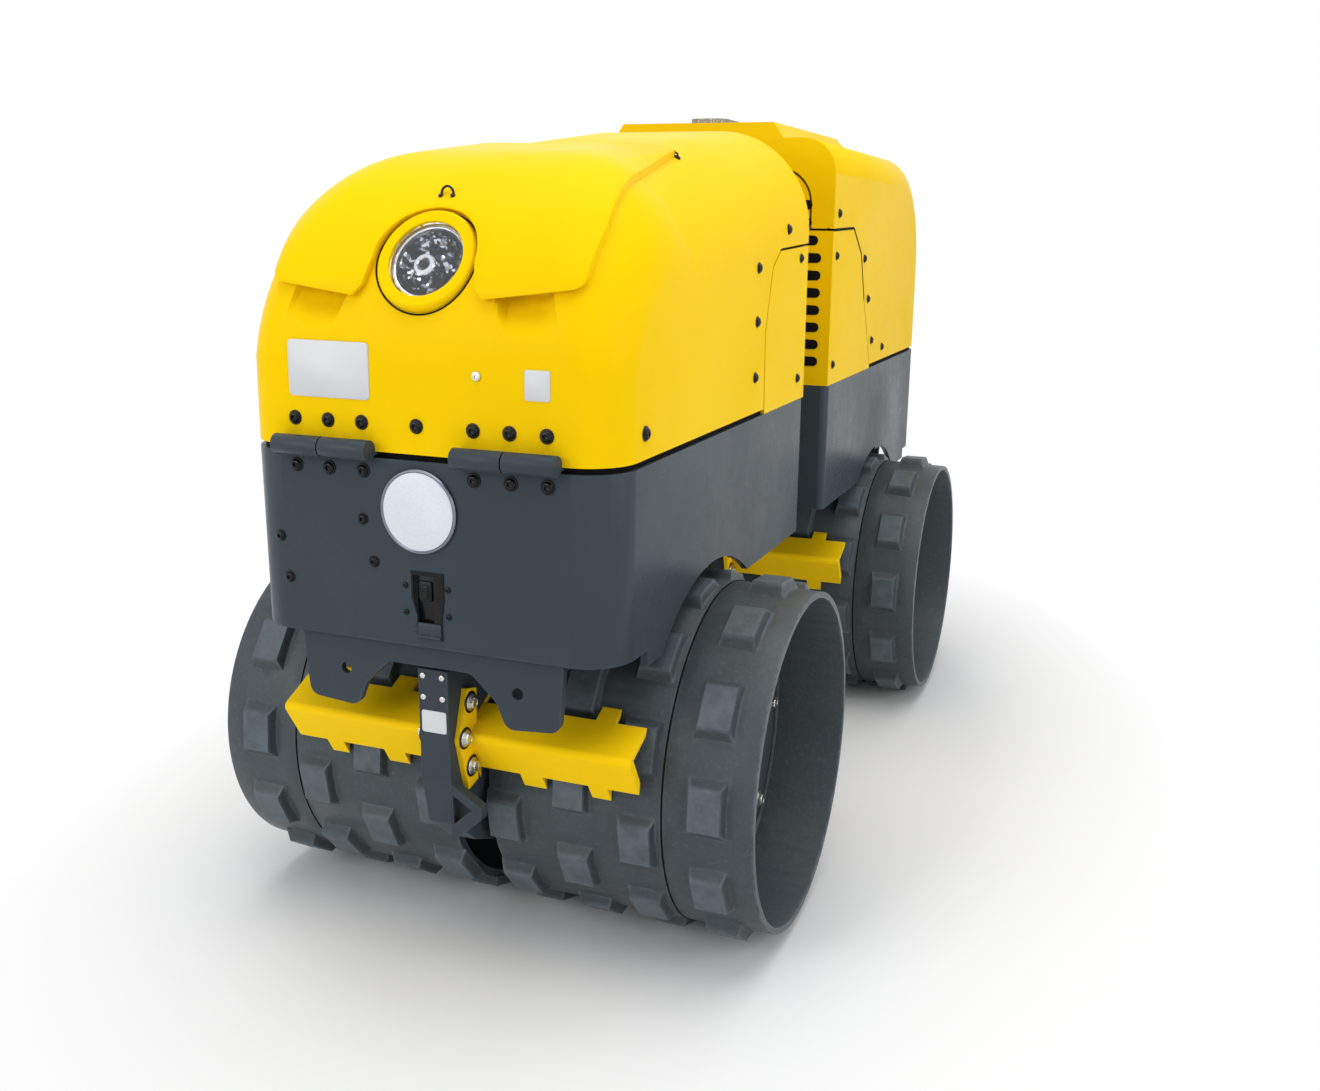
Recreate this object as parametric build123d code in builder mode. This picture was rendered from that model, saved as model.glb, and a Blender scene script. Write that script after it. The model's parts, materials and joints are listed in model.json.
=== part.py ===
from build123d import *
import math
import os

# A trench roller in two halves that steer about an upright pivot between them.
# Millimetres, Z up, ground at Z = 0, front end towards -Y, origin below the middle of the whole.

# Drums
WHEELBASE = 1080.0
DRUM_SHELL_R = 248.0
DRUM_WALL = 12.0
PAD_HEIGHT = 14.0
PAD_SINK = 5.0
PADS_ROUND = 12
PAD_FOOT_LENGTH = 80.0
PAD_FOOT_WIDTH = 54.0
PAD_TOP_LENGTH = 56.0
PAD_TOP_WIDTH = 43.0
DRUM_INNER_X = 32.0
RING_SEAM_X = 285.0
OVERALL_HALF_WIDTH = 410.0
RIM_TAPER = 3.0
WEB_THICK = 12.0
WEB_RECESS = 9.0
WEB_HOLE_R = 26.0
WEB_HOLE_PITCH_R = 120.0
WEB_HOLES = 6
RING_FLANGE_R = 178.0
AXLE_R = 35.0
RUNNING_GAP = 0.05

# Body halves
BODY_HALF_WIDTH = 264.0
HALF_GAP = 84.0
FRONT_OVERHANG = 347.0
REAR_OVERHANG = 420.0
CORNER_R = 62.0
INNER_CORNER_R = 14.0
FRAME_WALL = 10.0
HOOD_WALL = 6.0
SKIRT = 82.0
END_SKIRT_RISE = 22.0
WELL_DEPTH = 172.0
SEAM_GAP = 8.0
OUTER_CUT_LENGTH = 100.0
INNER_SKIRT_RISE = 26.0
INNER_CUT_LENGTH = 300.0
DRUM_CLEARANCE = 20.0
DECK_CLEARANCE = 4.0
DECK_THICK = 10.0
SERVICE_WIDTH = 36.0
SERVICE_HEIGHT = 76.0
SERVICE_DROP = 185.0
SERVICE_DEPTH = 7.0

# Front hood, its lid and its lamp
FRONT_HOOD_RISE = 435.0
FRONT_SHOULDER_RISE = 336.0
FRONT_SHOULDER_R = 260.0
FRONT_LEAN = 6.0
TOP_CORNER_R = 160.0
SHOULDER_DEPTH = 200.0
SHOULDER_STATIONS = 6
LID_RAISE = 9.0
LID_RISE = 208.0
LID_FOOT_RISE = 191.0
LID_HALF = 214.0
LID_FOOT_X = 78.0
LID_SIDE_FRONT = 72.0
LID_SIDE_BACK = 420.0
LID_MIDDLE_BACK = 366.0
LID_CLIP_X = 170.0
LAMP_TILT = 30.0
LAMP_R = 50.0
LAMP_DEPTH = 44.0
BEZEL_R = 66.0
BEZEL_PROUD = 4.0
BEZEL_SEAT = 22.0
BEZEL_GAP = 5.0
LENS_THICK = 8.0
SCOOP_INNER_X = 101.0
SCOOP_OUTER_X = 193.0
SCOOP_HEIGHT = 36.0
SCOOP_DEPTH = 14.0
SCOOP_TURN = 10.0

# Rear hood and the fixed bulkheads with their wings
REAR_HOOD_RISE = 435.0
REAR_SHOULDER_R = 250.0
REAR_LEAN = 5.0
REAR_FALL = 6.0
PLATEAU_RISE = 27.0
PLATEAU_HALF = 176.0
PLATEAU_LENGTH = 520.0
PLATEAU_SLOPE = 60.0
BULKHEAD_RISE = 380.0
BULKHEAD_HALF = 218.0
BULKHEAD_R = 60.0
PANEL_GAP = 4.0
SLOTS = 10
SLOT_RISE = 40.0
SLOT_PITCH = 31.0
SLOT_HEIGHT = 18.0
SLOT_INNER_X = 132.0
SLOT_OUTER_X = 232.0
SLOT_UPPER_X = 204.0

# Hood hinges
BARREL_R = 13.0
BARREL_STAND_OFF = 14.0
HINGE_RISE = 7.0
HINGE_PIN_R = 5.0
HINGE_INNER_X = 59.0
HINGE_SIDE_GAP = 68.0
LEAF_THICK = 6.0
LEAF_HEIGHT = 46.0
NECK_THICK = 4.0
KNUCKLE_GAP = 1.0

# Steering and oscillation joint
JOINT_RISE = 23.0
PIVOT_R = 20.0
PIVOT_HEAD_R = 29.0
PIVOT_HEAD = 10.0
LUG_R = 42.0
LUG_THICK = 22.0
LUG_SPACE = 118.0
HUB_R = 40.0
HUB_GAP = 1.0
FORK_BACK_THICK = 16.0
FORK_BACK_WIDTH = 116.0
FORK_BACK_HEIGHT = 220.0
SLEEVE_R = 52.0
SLEEVE_START = 20.0
SLEEVE_END = 66.0
SHAFT_R = 32.0
SHAFT_END_GAP = 2.0
FLANGE_THICK = 10.0
FLANGE_R = 76.0

# Steering cylinder
CYLINDER_RISE = 19.0
ARM_X = 88.0
ARM_Y = 30.0
ARM_END_R = 20.0
ARM_PLATE = 12.0
EYE_HALF = 12.0
EYE_GAP = 2.0
ROD_EYE_R = 28.0
ROD_EYE_BORE = 21.0
ROD_PIN_R = 7.0
ANCHOR_X = 90.0
ANCHOR_BACK = 330.0
ANCHOR_WIDTH = 56.0
ANCHOR_PLATE = 14.0
ANCHOR_PIN_R = 8.0
BARREL_EYE_R = 22.0
TUBE_R = 26.0
ROD_R = 11.0
TUBE_END = 236.0
TUBE_START = 14.0
TUBE_BLIND = 40.0
ROD_INSIDE = 70.0
WINDOW_LOW_X = 60.0
WINDOW_HIGH_X = 136.0
WINDOW_HALF_HEIGHT = 38.0

PAD_R = DRUM_SHELL_R + PAD_HEIGHT
AXLE_Z = PAD_R
PAD_FLAT = math.sqrt(PAD_R**2 - (PAD_TOP_LENGTH / 2) ** 2)
WEB_X = RING_SEAM_X - WEB_RECESS - WEB_THICK
ARCH_R = PAD_R + DRUM_CLEARANCE
DECK_BOTTOM = AXLE_Z + ARCH_R + DECK_CLEARANCE
DECK_TOP = DECK_BOTTOM + DECK_THICK
FRAME_BOTTOM = DECK_BOTTOM - SKIRT
SEAM_Z = DECK_TOP + WELL_DEPTH
FRAME_TOP = SEAM_Z - SEAM_GAP / 2
HOOD_BOTTOM = SEAM_Z + SEAM_GAP / 2
SERVICE_Z = SEAM_Z - SERVICE_DROP
HINGE_Z = SEAM_Z + HINGE_RISE
HINGE_OUTER_X = BODY_HALF_WIDTH - HINGE_SIDE_GAP
FRONT_HOOD_TOP = SEAM_Z + FRONT_HOOD_RISE
FRONT_SHOULDER_TOP = SEAM_Z + FRONT_SHOULDER_RISE
REAR_HOOD_TOP = SEAM_Z + REAR_HOOD_RISE
BULKHEAD_TOP = SEAM_Z + BULKHEAD_RISE
SLOT_LOW = SEAM_Z + SLOT_RISE
JOINT_Z = DECK_TOP + JOINT_RISE
CYLINDER_Z = JOINT_Z + CYLINDER_RISE
LUG_LOW_TOP = JOINT_Z - LUG_SPACE / 2
LUG_HIGH_BOTTOM = JOINT_Z + LUG_SPACE / 2
FRONT_END = WHEELBASE / 2 + FRONT_OVERHANG
REAR_END = WHEELBASE / 2 + REAR_OVERHANG
PIVOT_Y = (FRONT_END - REAR_END) / 2
FRONT_Y = PIVOT_Y - FRONT_END
REAR_Y = PIVOT_Y + REAR_END
FRONT_INNER_Y = PIVOT_Y - HALF_GAP
REAR_INNER_Y = PIVOT_Y + HALF_GAP
SHAFT_END = PIVOT_Y + HALF_GAP / 3 + SHAFT_END_GAP

os.makedirs("parts", exist_ok=True)

# name, sign of the outer end along Y, Y of the axle, Y of the end at the pivot, Y of the outer end
HALVES = [
    ("front", -1, PIVOT_Y - WHEELBASE / 2, FRONT_INNER_Y, FRONT_Y),
    ("rear", 1, PIVOT_Y + WHEELBASE / 2, REAR_INNER_Y, REAR_Y),
]
# name as seen by a driver who faces the front, sign along X
SIDES = [
    ("right", -1),
    ("left", 1),
]
# X of each row of pads on a drum, angle of its first pad
DRUM_ROWS = [
    (56.0, 10.0),
    (156.0, 25.0),
    (250.0, 10.0),
]
# the same for an extension ring
RING_ROWS = [
    (347.0, 25.0),
]

# Frames: open boxes with a deck above the drums
for half, s, axle_y, inner_y, outer_y in HALVES:
    mid_y = (inner_y + outer_y) / 2
    length = abs(outer_y - inner_y)
    with BuildPart() as frame:
        with BuildSketch(Plane.XY.offset(FRAME_BOTTOM)) as foot:
            with Locations((0, mid_y)):
                Rectangle(2 * BODY_HALF_WIDTH, length)
            by_y = foot.vertices().sort_by(Axis.Y)
            fillet(by_y[:2] if s < 0 else by_y[-2:], CORNER_R)
            by_y = foot.vertices().sort_by(Axis.Y)
            fillet(by_y[-2:] if s < 0 else by_y[:2], INNER_CORNER_R)
        extrude(amount=FRAME_TOP - FRAME_BOTTOM)
        for floor_z, depth in ((DECK_TOP, FRAME_TOP - DECK_TOP + 1), (DECK_BOTTOM, FRAME_BOTTOM - DECK_BOTTOM - 1)):
            with BuildSketch(Plane.XY.offset(floor_z)) as well:
                with Locations((0, mid_y)):
                    Rectangle(2 * (BODY_HALF_WIDTH - FRAME_WALL), length - 2 * FRAME_WALL)
                by_y = well.vertices().sort_by(Axis.Y)
                fillet(by_y[:2] if s < 0 else by_y[-2:], CORNER_R - FRAME_WALL)
            extrude(amount=depth, mode=Mode.SUBTRACT)
        # arches over the drum
        with BuildSketch(Plane.YZ.offset(-BODY_HALF_WIDTH - 1)) as arch:
            with Locations((axle_y, AXLE_Z)):
                Circle(ARCH_R)
        extrude(amount=2 * BODY_HALF_WIDTH + 2, mode=Mode.SUBTRACT)
        # the outer end is cut a little higher than the rest
        with Locations((0, outer_y - s * OUTER_CUT_LENGTH / 2, FRAME_BOTTOM + END_SKIRT_RISE / 2)):
            Box(2 * BODY_HALF_WIDTH + 2, OUTER_CUT_LENGTH + 2, END_SKIRT_RISE, mode=Mode.SUBTRACT)
        with Locations((0, inner_y + s * INNER_CUT_LENGTH / 2, FRAME_BOTTOM + INNER_SKIRT_RISE / 2)):
            Box(2 * BODY_HALF_WIDTH + 2, INNER_CUT_LENGTH + 2, INNER_SKIRT_RISE, mode=Mode.SUBTRACT)
        # recess for a socket in the outer end plate
        with Locations((0, outer_y, SERVICE_Z)):
            Box(SERVICE_WIDTH, 2 * SERVICE_DEPTH, SERVICE_HEIGHT, mode=Mode.SUBTRACT)
        # frame halves of the hood hinges, each with its pin
        hinge_y = outer_y + s * BARREL_STAND_OFF
        for side, t in SIDES:
            near, far = sorted((t * HINGE_INNER_X, t * HINGE_OUTER_X))
            knuckle = (far - near) / 2 - KNUCKLE_GAP
            with BuildSketch(Plane.YZ.offset(near)) as barrel:
                with Locations((hinge_y, HINGE_Z)):
                    Circle(BARREL_R)
            extrude(amount=knuckle)
            with BuildSketch(Plane.YZ.offset(near)) as hinge_pin:
                with Locations((hinge_y, HINGE_Z)):
                    Circle(HINGE_PIN_R)
            extrude(amount=far - near)
            neck_depth = BARREL_STAND_OFF + FRAME_WALL
            with Locations((near + knuckle / 2, outer_y + s * (neck_depth / 2 - FRAME_WALL), FRAME_TOP)):
                Box(knuckle, neck_depth, NECK_THICK + 2)
        if s < 0:
            # window for the steering cylinder, and its anchor on the deck
            window_x = (WINDOW_LOW_X + WINDOW_HIGH_X) / 2
            with Locations((window_x, inner_y, CYLINDER_Z)):
                Box(WINDOW_HIGH_X - WINDOW_LOW_X, 3 * FRAME_WALL, 2 * WINDOW_HALF_HEIGHT, mode=Mode.SUBTRACT)
            anchor_y = PIVOT_Y - ANCHOR_BACK
            eye_low = CYLINDER_Z - EYE_HALF - EYE_GAP
            eye_high = CYLINDER_Z + EYE_HALF + EYE_GAP
            with Locations((ANCHOR_X, anchor_y - 12, (DECK_TOP + eye_low) / 2)):
                Box(ANCHOR_WIDTH, 72, eye_low - DECK_TOP)
            with Locations((ANCHOR_X, anchor_y - 12, eye_high + ANCHOR_PLATE / 2)):
                Box(ANCHOR_WIDTH, 72, ANCHOR_PLATE)
            with Locations((ANCHOR_X, anchor_y - 42, CYLINDER_Z)):
                Box(ANCHOR_WIDTH, 12, eye_high - eye_low)
            with Locations((ANCHOR_X, anchor_y, CYLINDER_Z)):
                Cylinder(ANCHOR_PIN_R, eye_high - eye_low)
    frame.part.label = f"{half}_frame"
    export_step(frame.part, f"parts/{half}_frame.step")

# Cross plates inside the outer ends of the frames, reaching below them
CROSS_HALF = 190.0
CROSS_THICK = 10.0
CROSS_DROP = 76.0
CROSS_ARCH_DROP = 8.0
LOBE_INNER_X = 104.0
LOBE_R = 16.0
CROSS_HOLE_R = 8.0
CROSS_HOLE_X = 126.0
CROSS_HOLE_DROP = 26.0
CHEEK_LENGTH = 60.0
for half, s, axle_y, inner_y, outer_y in HALVES:
    plate_y = outer_y - s * FRAME_WALL
    lobe_z = FRAME_BOTTOM - CROSS_DROP
    arch_z = FRAME_BOTTOM - CROSS_ARCH_DROP
    with BuildPart() as cross_plate:
        with BuildSketch(Plane.XZ.offset(-plate_y)) as outline:
            with BuildLine() as lobed_edge:
                right_edge = Polyline((0, DECK_BOTTOM), (CROSS_HALF, DECK_BOTTOM), (CROSS_HALF, arch_z + 18),
                                      (CROSS_HALF - 6, lobe_z + 6), (LOBE_INNER_X + 6, lobe_z),
                                      (LOBE_INNER_X - 8, (lobe_z + arch_z) / 2), (LOBE_INNER_X - 44, arch_z),
                                      (0, arch_z))
                mirror(right_edge, about=Plane.YZ)
            make_face()
            fillet(outline.vertices().filter_by(lambda v: v.Y < DECK_BOTTOM - 1 and abs(v.X) > 1), LOBE_R)
            with Locations((-CROSS_HOLE_X, FRAME_BOTTOM - CROSS_HOLE_DROP),
                           (CROSS_HOLE_X, FRAME_BOTTOM - CROSS_HOLE_DROP)):
                Circle(CROSS_HOLE_R, mode=Mode.SUBTRACT)
        extrude(amount=s * CROSS_THICK)
        for side, t in SIDES:
            cheek_y = plate_y - s * CHEEK_LENGTH / 2
            with Locations((t * (CROSS_HALF - CROSS_THICK / 2), cheek_y, (DECK_BOTTOM + arch_z + 18) / 2)):
                Box(CROSS_THICK, CHEEK_LENGTH, DECK_BOTTOM - arch_z - 18)
    cross_plate.part.label = f"{half}_cross_plate"
    export_step(cross_plate.part, f"parts/{half}_cross_plate.step")

# Drum supports between the two drums of each half, with a tie-down loop at the outer end
SUPPORT_HALF = 22.0
NOSE_REACH = 330.0
NOSE_RISE = 190.0
LOOP_REACH = 42.0
LOOP_BAR = 16.0
for half, s, axle_y, inner_y, outer_y in HALVES:
    nose = axle_y + s * NOSE_REACH
    back = axle_y - s * (NOSE_REACH - 30)
    with BuildPart() as support:
        with BuildSketch(Plane.YZ.offset(-SUPPORT_HALF)) as side_view:
            with BuildLine():
                Polyline((axle_y - s * 150, DECK_BOTTOM), (axle_y + s * 150, DECK_BOTTOM),
                         (nose - s * 94, AXLE_Z + NOSE_RISE), (nose, AXLE_Z + NOSE_RISE), (nose, AXLE_Z + 38),
                         (nose - s * 14, AXLE_Z - 30), (nose - s * 60, AXLE_Z - 72), (axle_y + s * 180, AXLE_Z - 112),
                         (axle_y, AXLE_Z - 130), (axle_y - s * 150, AXLE_Z - 102), (back + s * 30, AXLE_Z + 18),
                         (back, AXLE_Z + 68), (back, AXLE_Z + 138), (back + s * 64, AXLE_Z + NOSE_RISE),
                         (axle_y - s * 150, DECK_BOTTOM))
            make_face()
            with Locations((axle_y, AXLE_Z)):
                Circle(AXLE_R + RUNNING_GAP, mode=Mode.SUBTRACT)
        extrude(amount=2 * SUPPORT_HALF)
        # tie-down loop on the side of the nose
        with BuildSketch(Plane.XZ.offset(-(nose - s * 20))) as loop:
            with BuildLine():
                Polyline((SUPPORT_HALF - 2, AXLE_Z + 32), (SUPPORT_HALF + LOOP_REACH, AXLE_Z + 6),
                         (SUPPORT_HALF + LOOP_REACH, AXLE_Z - 10), (SUPPORT_HALF - 2, AXLE_Z - 50),
                         (SUPPORT_HALF - 2, AXLE_Z + 32))
            make_face()
            with BuildLine():
                Polyline((SUPPORT_HALF, AXLE_Z + 16), (SUPPORT_HALF + LOOP_REACH - LOOP_BAR, AXLE_Z),
                         (SUPPORT_HALF, AXLE_Z - 24), (SUPPORT_HALF, AXLE_Z + 16))
            make_face(mode=Mode.SUBTRACT)
        extrude(amount=-s * LOOP_BAR)
    support.part.label = f"{half}_drum_support"
    export_step(support.part, f"parts/{half}_drum_support.step")

# Scrapers: a bent bar on each side of each drum, with teeth that reach between the rows of pads
# name, direction from the axle along Y times the half's sign
SCRAPER_PLACES = [
    ("outer", 1),
    ("inner", -1),
]
SCRAPER_END = 262.0
SCRAPER_APEX = 300.0
SCRAPER_APEX_RISE = 91.0
SCRAPER_TOP = 208.0
SCRAPER_TOP_RISE = 133.0
SCRAPER_LOW = 246.0
SCRAPER_LOW_RISE = 2.0
SCRAPER_WALL = 9.0
TOOTH_GAP = 5.0
NOTCH_SIDE_GAP = 6.0
NOTCH_GAP = 6.0
FLANGE_WALL = 8.0
FLANGE_REACH = 18.0
for half, s, axle_y, inner_y, outer_y in HALVES:
    for place, way in SCRAPER_PLACES:
        d = s * way
        apex_y = axle_y + d * SCRAPER_APEX
        apex_z = AXLE_Z + SCRAPER_APEX_RISE
        top_y = axle_y + d * SCRAPER_TOP
        top_z = AXLE_Z + SCRAPER_TOP_RISE
        low_y = axle_y + d * SCRAPER_LOW
        low_z = AXLE_Z + SCRAPER_LOW_RISE
        for side, t in SIDES:
            near, far = sorted((t * SUPPORT_HALF, t * SCRAPER_END))
            with BuildPart() as scraper:
                with BuildSketch(Plane.YZ.offset(near)) as bent:
                    with BuildLine():
                        Polyline((top_y, top_z), (apex_y, apex_z), (low_y, low_z),
                                 (low_y - d * SCRAPER_WALL, low_z + SCRAPER_WALL / 2),
                                 (apex_y - d * SCRAPER_WALL * 1.5, apex_z),
                                 (top_y, top_z - SCRAPER_WALL), (top_y, top_z))
                    make_face()
                    fillet(bent.vertices().sort_by(Axis.X)[-1 if d > 0 else 0], SCRAPER_WALL)
                extrude(amount=far - near)
                # the teeth stop short of the shell, and the notches let the pads pass
                with BuildSketch(Plane.YZ.offset(near - 1)) as sweep:
                    with Locations((axle_y, AXLE_Z)):
                        Circle(DRUM_SHELL_R + TOOTH_GAP)
                extrude(amount=far - near + 2, mode=Mode.SUBTRACT)
                half_notch = PAD_FOOT_WIDTH / 2 + NOTCH_SIDE_GAP
                for row_x, first in DRUM_ROWS:
                    with BuildSketch(Plane.YZ.offset(t * row_x - half_notch)) as notch:
                        with Locations((axle_y, AXLE_Z)):
                            Circle(PAD_R + NOTCH_GAP)
                    extrude(amount=2 * half_notch, mode=Mode.SUBTRACT)
                # end flange that bolts to the drum support
                with BuildSketch(Plane.YZ.offset(t * SUPPORT_HALF)) as flange:
                    with BuildLine():
                        Polyline((apex_y + d * FLANGE_REACH, apex_z), (apex_y - d * 4, apex_z + 66),
                                 (apex_y - d * 28, apex_z + 60), (apex_y - d * 28, apex_z - 70),
                                 (apex_y - d * 2, apex_z - 76), (apex_y + d * FLANGE_REACH, apex_z))
                    make_face()
                extrude(amount=t * FLANGE_WALL)
            scraper.part.label = f"{half}_{place}_scraper_{side}"
            export_step(scraper.part, f"parts/{half}_{place}_scraper_{side}.step")

# Axles
for half, s, axle_y, inner_y, outer_y in HALVES:
    with BuildPart() as axle:
        with Locations((0, axle_y, AXLE_Z)):
            Cylinder(AXLE_R, 2 * (WEB_X + WEB_THICK), rotation=(0, 90, 0))
    axle.part.label = f"{half}_axle"
    export_step(axle.part, f"parts/{half}_axle.step")

# Drums and their extension rings about the X axis, with rows of tapered pads
DRUM_FORMS = {}
RING_FORMS = {}
for side, t in SIDES:
    for forms, rows in ((DRUM_FORMS, DRUM_ROWS), (RING_FORMS, RING_ROWS)):
        with BuildPart() as shell_form:
            if rows is DRUM_ROWS:
                with BuildSketch(Plane.YZ.offset(t * DRUM_INNER_X)) as shell:
                    Circle(DRUM_SHELL_R)
                    Circle(DRUM_SHELL_R - DRUM_WALL, mode=Mode.SUBTRACT)
                extrude(amount=t * (RING_SEAM_X - DRUM_INNER_X))
                with BuildSketch(Plane.YZ.offset(t * WEB_X)) as web:
                    Circle(DRUM_SHELL_R - DRUM_WALL / 2)
                    Circle(AXLE_R, mode=Mode.SUBTRACT)
                    with PolarLocations(WEB_HOLE_PITCH_R, WEB_HOLES):
                        Circle(WEB_HOLE_R, mode=Mode.SUBTRACT)
                extrude(amount=t * WEB_THICK)
            else:
                with BuildSketch(Plane.XY) as ring_section:
                    with BuildLine():
                        Polyline((t * RING_SEAM_X, DRUM_SHELL_R),
                                 (t * OVERALL_HALF_WIDTH, DRUM_SHELL_R - RIM_TAPER),
                                 (t * OVERALL_HALF_WIDTH, DRUM_SHELL_R - DRUM_WALL),
                                 (t * (RING_SEAM_X + WEB_THICK), DRUM_SHELL_R - DRUM_WALL),
                                 (t * (RING_SEAM_X + WEB_THICK), RING_FLANGE_R),
                                 (t * RING_SEAM_X, RING_FLANGE_R), (t * RING_SEAM_X, DRUM_SHELL_R))
                    make_face()
                revolve(axis=Axis.X)
            for row_x, first in rows:
                for i in range(PADS_ROUND):
                    a = math.radians(first + i * 360.0 / PADS_ROUND)
                    c, q = math.cos(a), math.sin(a)
                    base = DRUM_SHELL_R - PAD_SINK
                    spot = Plane(origin=(t * row_x, base * c, base * q), x_dir=(1, 0, 0), z_dir=(0, c, q))
                    with BuildSketch(spot) as pad_foot:
                        Rectangle(PAD_FOOT_WIDTH, PAD_FOOT_LENGTH)
                    with BuildSketch(spot.offset(PAD_FLAT - base)) as pad_top:
                        Rectangle(PAD_TOP_WIDTH, PAD_TOP_LENGTH)
                    loft(sections=[pad_foot.sketch, pad_top.sketch])
        forms[side] = shell_form.part
for half, s, axle_y, inner_y, outer_y in HALVES:
    for side, t in SIDES:
        with BuildPart() as drum:
            with Locations((0, axle_y, AXLE_Z)):
                add(DRUM_FORMS[side])
        drum.part.label = f"{half}_drum_{side}"
        export_step(drum.part, f"parts/{half}_drum_{side}.step")
        with BuildPart() as ring:
            with Locations((0, axle_y, AXLE_Z)):
                add(RING_FORMS[side])
        ring.part.label = f"{half}_drum_ring_{side}"
        export_step(ring.part, f"parts/{half}_drum_ring_{side}.step")

# Steering joint: a fork on the front frame, its upright pin, and the swivel between the lugs
with BuildPart() as fork:
    with Locations((0, FRONT_INNER_Y + FORK_BACK_THICK / 2, JOINT_Z)):
        Box(FORK_BACK_WIDTH, FORK_BACK_THICK, FORK_BACK_HEIGHT)
    for low in (LUG_LOW_TOP - LUG_THICK, LUG_HIGH_BOTTOM):
        with BuildSketch(Plane.XY.offset(low)) as lug:
            with Locations((0, PIVOT_Y)):
                Circle(LUG_R)
            with Locations((0, PIVOT_Y - (HALF_GAP - FORK_BACK_THICK / 2) / 2)):
                Rectangle(2 * LUG_R, HALF_GAP - FORK_BACK_THICK / 2)
            with Locations((0, PIVOT_Y)):
                Circle(PIVOT_R, mode=Mode.SUBTRACT)
        extrude(amount=LUG_THICK)
fork.part.label = "steering_fork"
export_step(fork.part, "parts/steering_fork.step")

with BuildPart() as pivot_pin:
    with BuildSketch(Plane.XY.offset(LUG_LOW_TOP - LUG_THICK)) as pin_round:
        with Locations((0, PIVOT_Y)):
            Circle(PIVOT_R)
    extrude(amount=LUG_SPACE + 2 * LUG_THICK)
    with BuildSketch(Plane.XY.offset(LUG_HIGH_BOTTOM + LUG_THICK)) as pin_head:
        with Locations((0, PIVOT_Y)):
            Circle(PIVOT_HEAD_R)
    extrude(amount=PIVOT_HEAD)
pivot_pin.part.label = "steering_pivot_pin"
export_step(pivot_pin.part, "parts/steering_pivot_pin.step")

with BuildPart() as swivel:
    with BuildSketch(Plane.XY.offset(LUG_LOW_TOP + HUB_GAP)) as hub:
        with Locations((0, PIVOT_Y)):
            Circle(HUB_R)
    extrude(amount=LUG_SPACE - 2 * HUB_GAP)
    with BuildSketch(Plane.XZ.offset(-(PIVOT_Y + SLEEVE_END))) as sleeve:
        with Locations((0, JOINT_Z)):
            Circle(SLEEVE_R)
    extrude(amount=SLEEVE_END - SLEEVE_START)
    # two arm plates that hold the rod's eye between them
    for low in (CYLINDER_Z - EYE_HALF - EYE_GAP - ARM_PLATE, CYLINDER_Z + EYE_HALF + EYE_GAP):
        with BuildSketch(Plane.XY.offset(low)) as arm:
            with BuildLine():
                Polyline((0, PIVOT_Y - 30), (ARM_X - 4, PIVOT_Y + ARM_Y - 18), (ARM_X, PIVOT_Y + ARM_Y),
                         (ARM_X - 6, PIVOT_Y + ARM_Y + 18), (30, PIVOT_Y + 60), (0, PIVOT_Y + 60),
                         (0, PIVOT_Y - 30))
            make_face()
            with Locations((ARM_X, PIVOT_Y + ARM_Y)):
                Circle(ARM_END_R)
        extrude(amount=ARM_PLATE)
    with Locations((ARM_X, PIVOT_Y + ARM_Y, CYLINDER_Z)):
        Cylinder(ROD_PIN_R, 2 * (EYE_HALF + EYE_GAP))
    with Locations((0, PIVOT_Y, JOINT_Z)):
        Cylinder(PIVOT_R + RUNNING_GAP, 2 * LUG_SPACE, mode=Mode.SUBTRACT)
    with BuildSketch(Plane.XZ.offset(-(PIVOT_Y + SLEEVE_END + 1))) as bearing:
        with Locations((0, JOINT_Z)):
            Circle(SHAFT_R + RUNNING_GAP)
    extrude(amount=PIVOT_Y + SLEEVE_END + 1 - SHAFT_END + SHAFT_END_GAP, mode=Mode.SUBTRACT)
swivel.part.label = "swivel_housing"
export_step(swivel.part, "parts/swivel_housing.step")

with BuildPart() as shaft:
    with BuildSketch(Plane.XZ.offset(-REAR_INNER_Y)) as shaft_flange:
        with Locations((0, JOINT_Z)):
            Circle(FLANGE_R)
    extrude(amount=FLANGE_THICK)
    with BuildSketch(Plane.XZ.offset(-REAR_INNER_Y)) as journal:
        with Locations((0, JOINT_Z)):
            Circle(SHAFT_R)
    extrude(amount=REAR_INNER_Y - SHAFT_END)
shaft.part.label = "oscillation_shaft"
export_step(shaft.part, "parts/oscillation_shaft.step")

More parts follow.
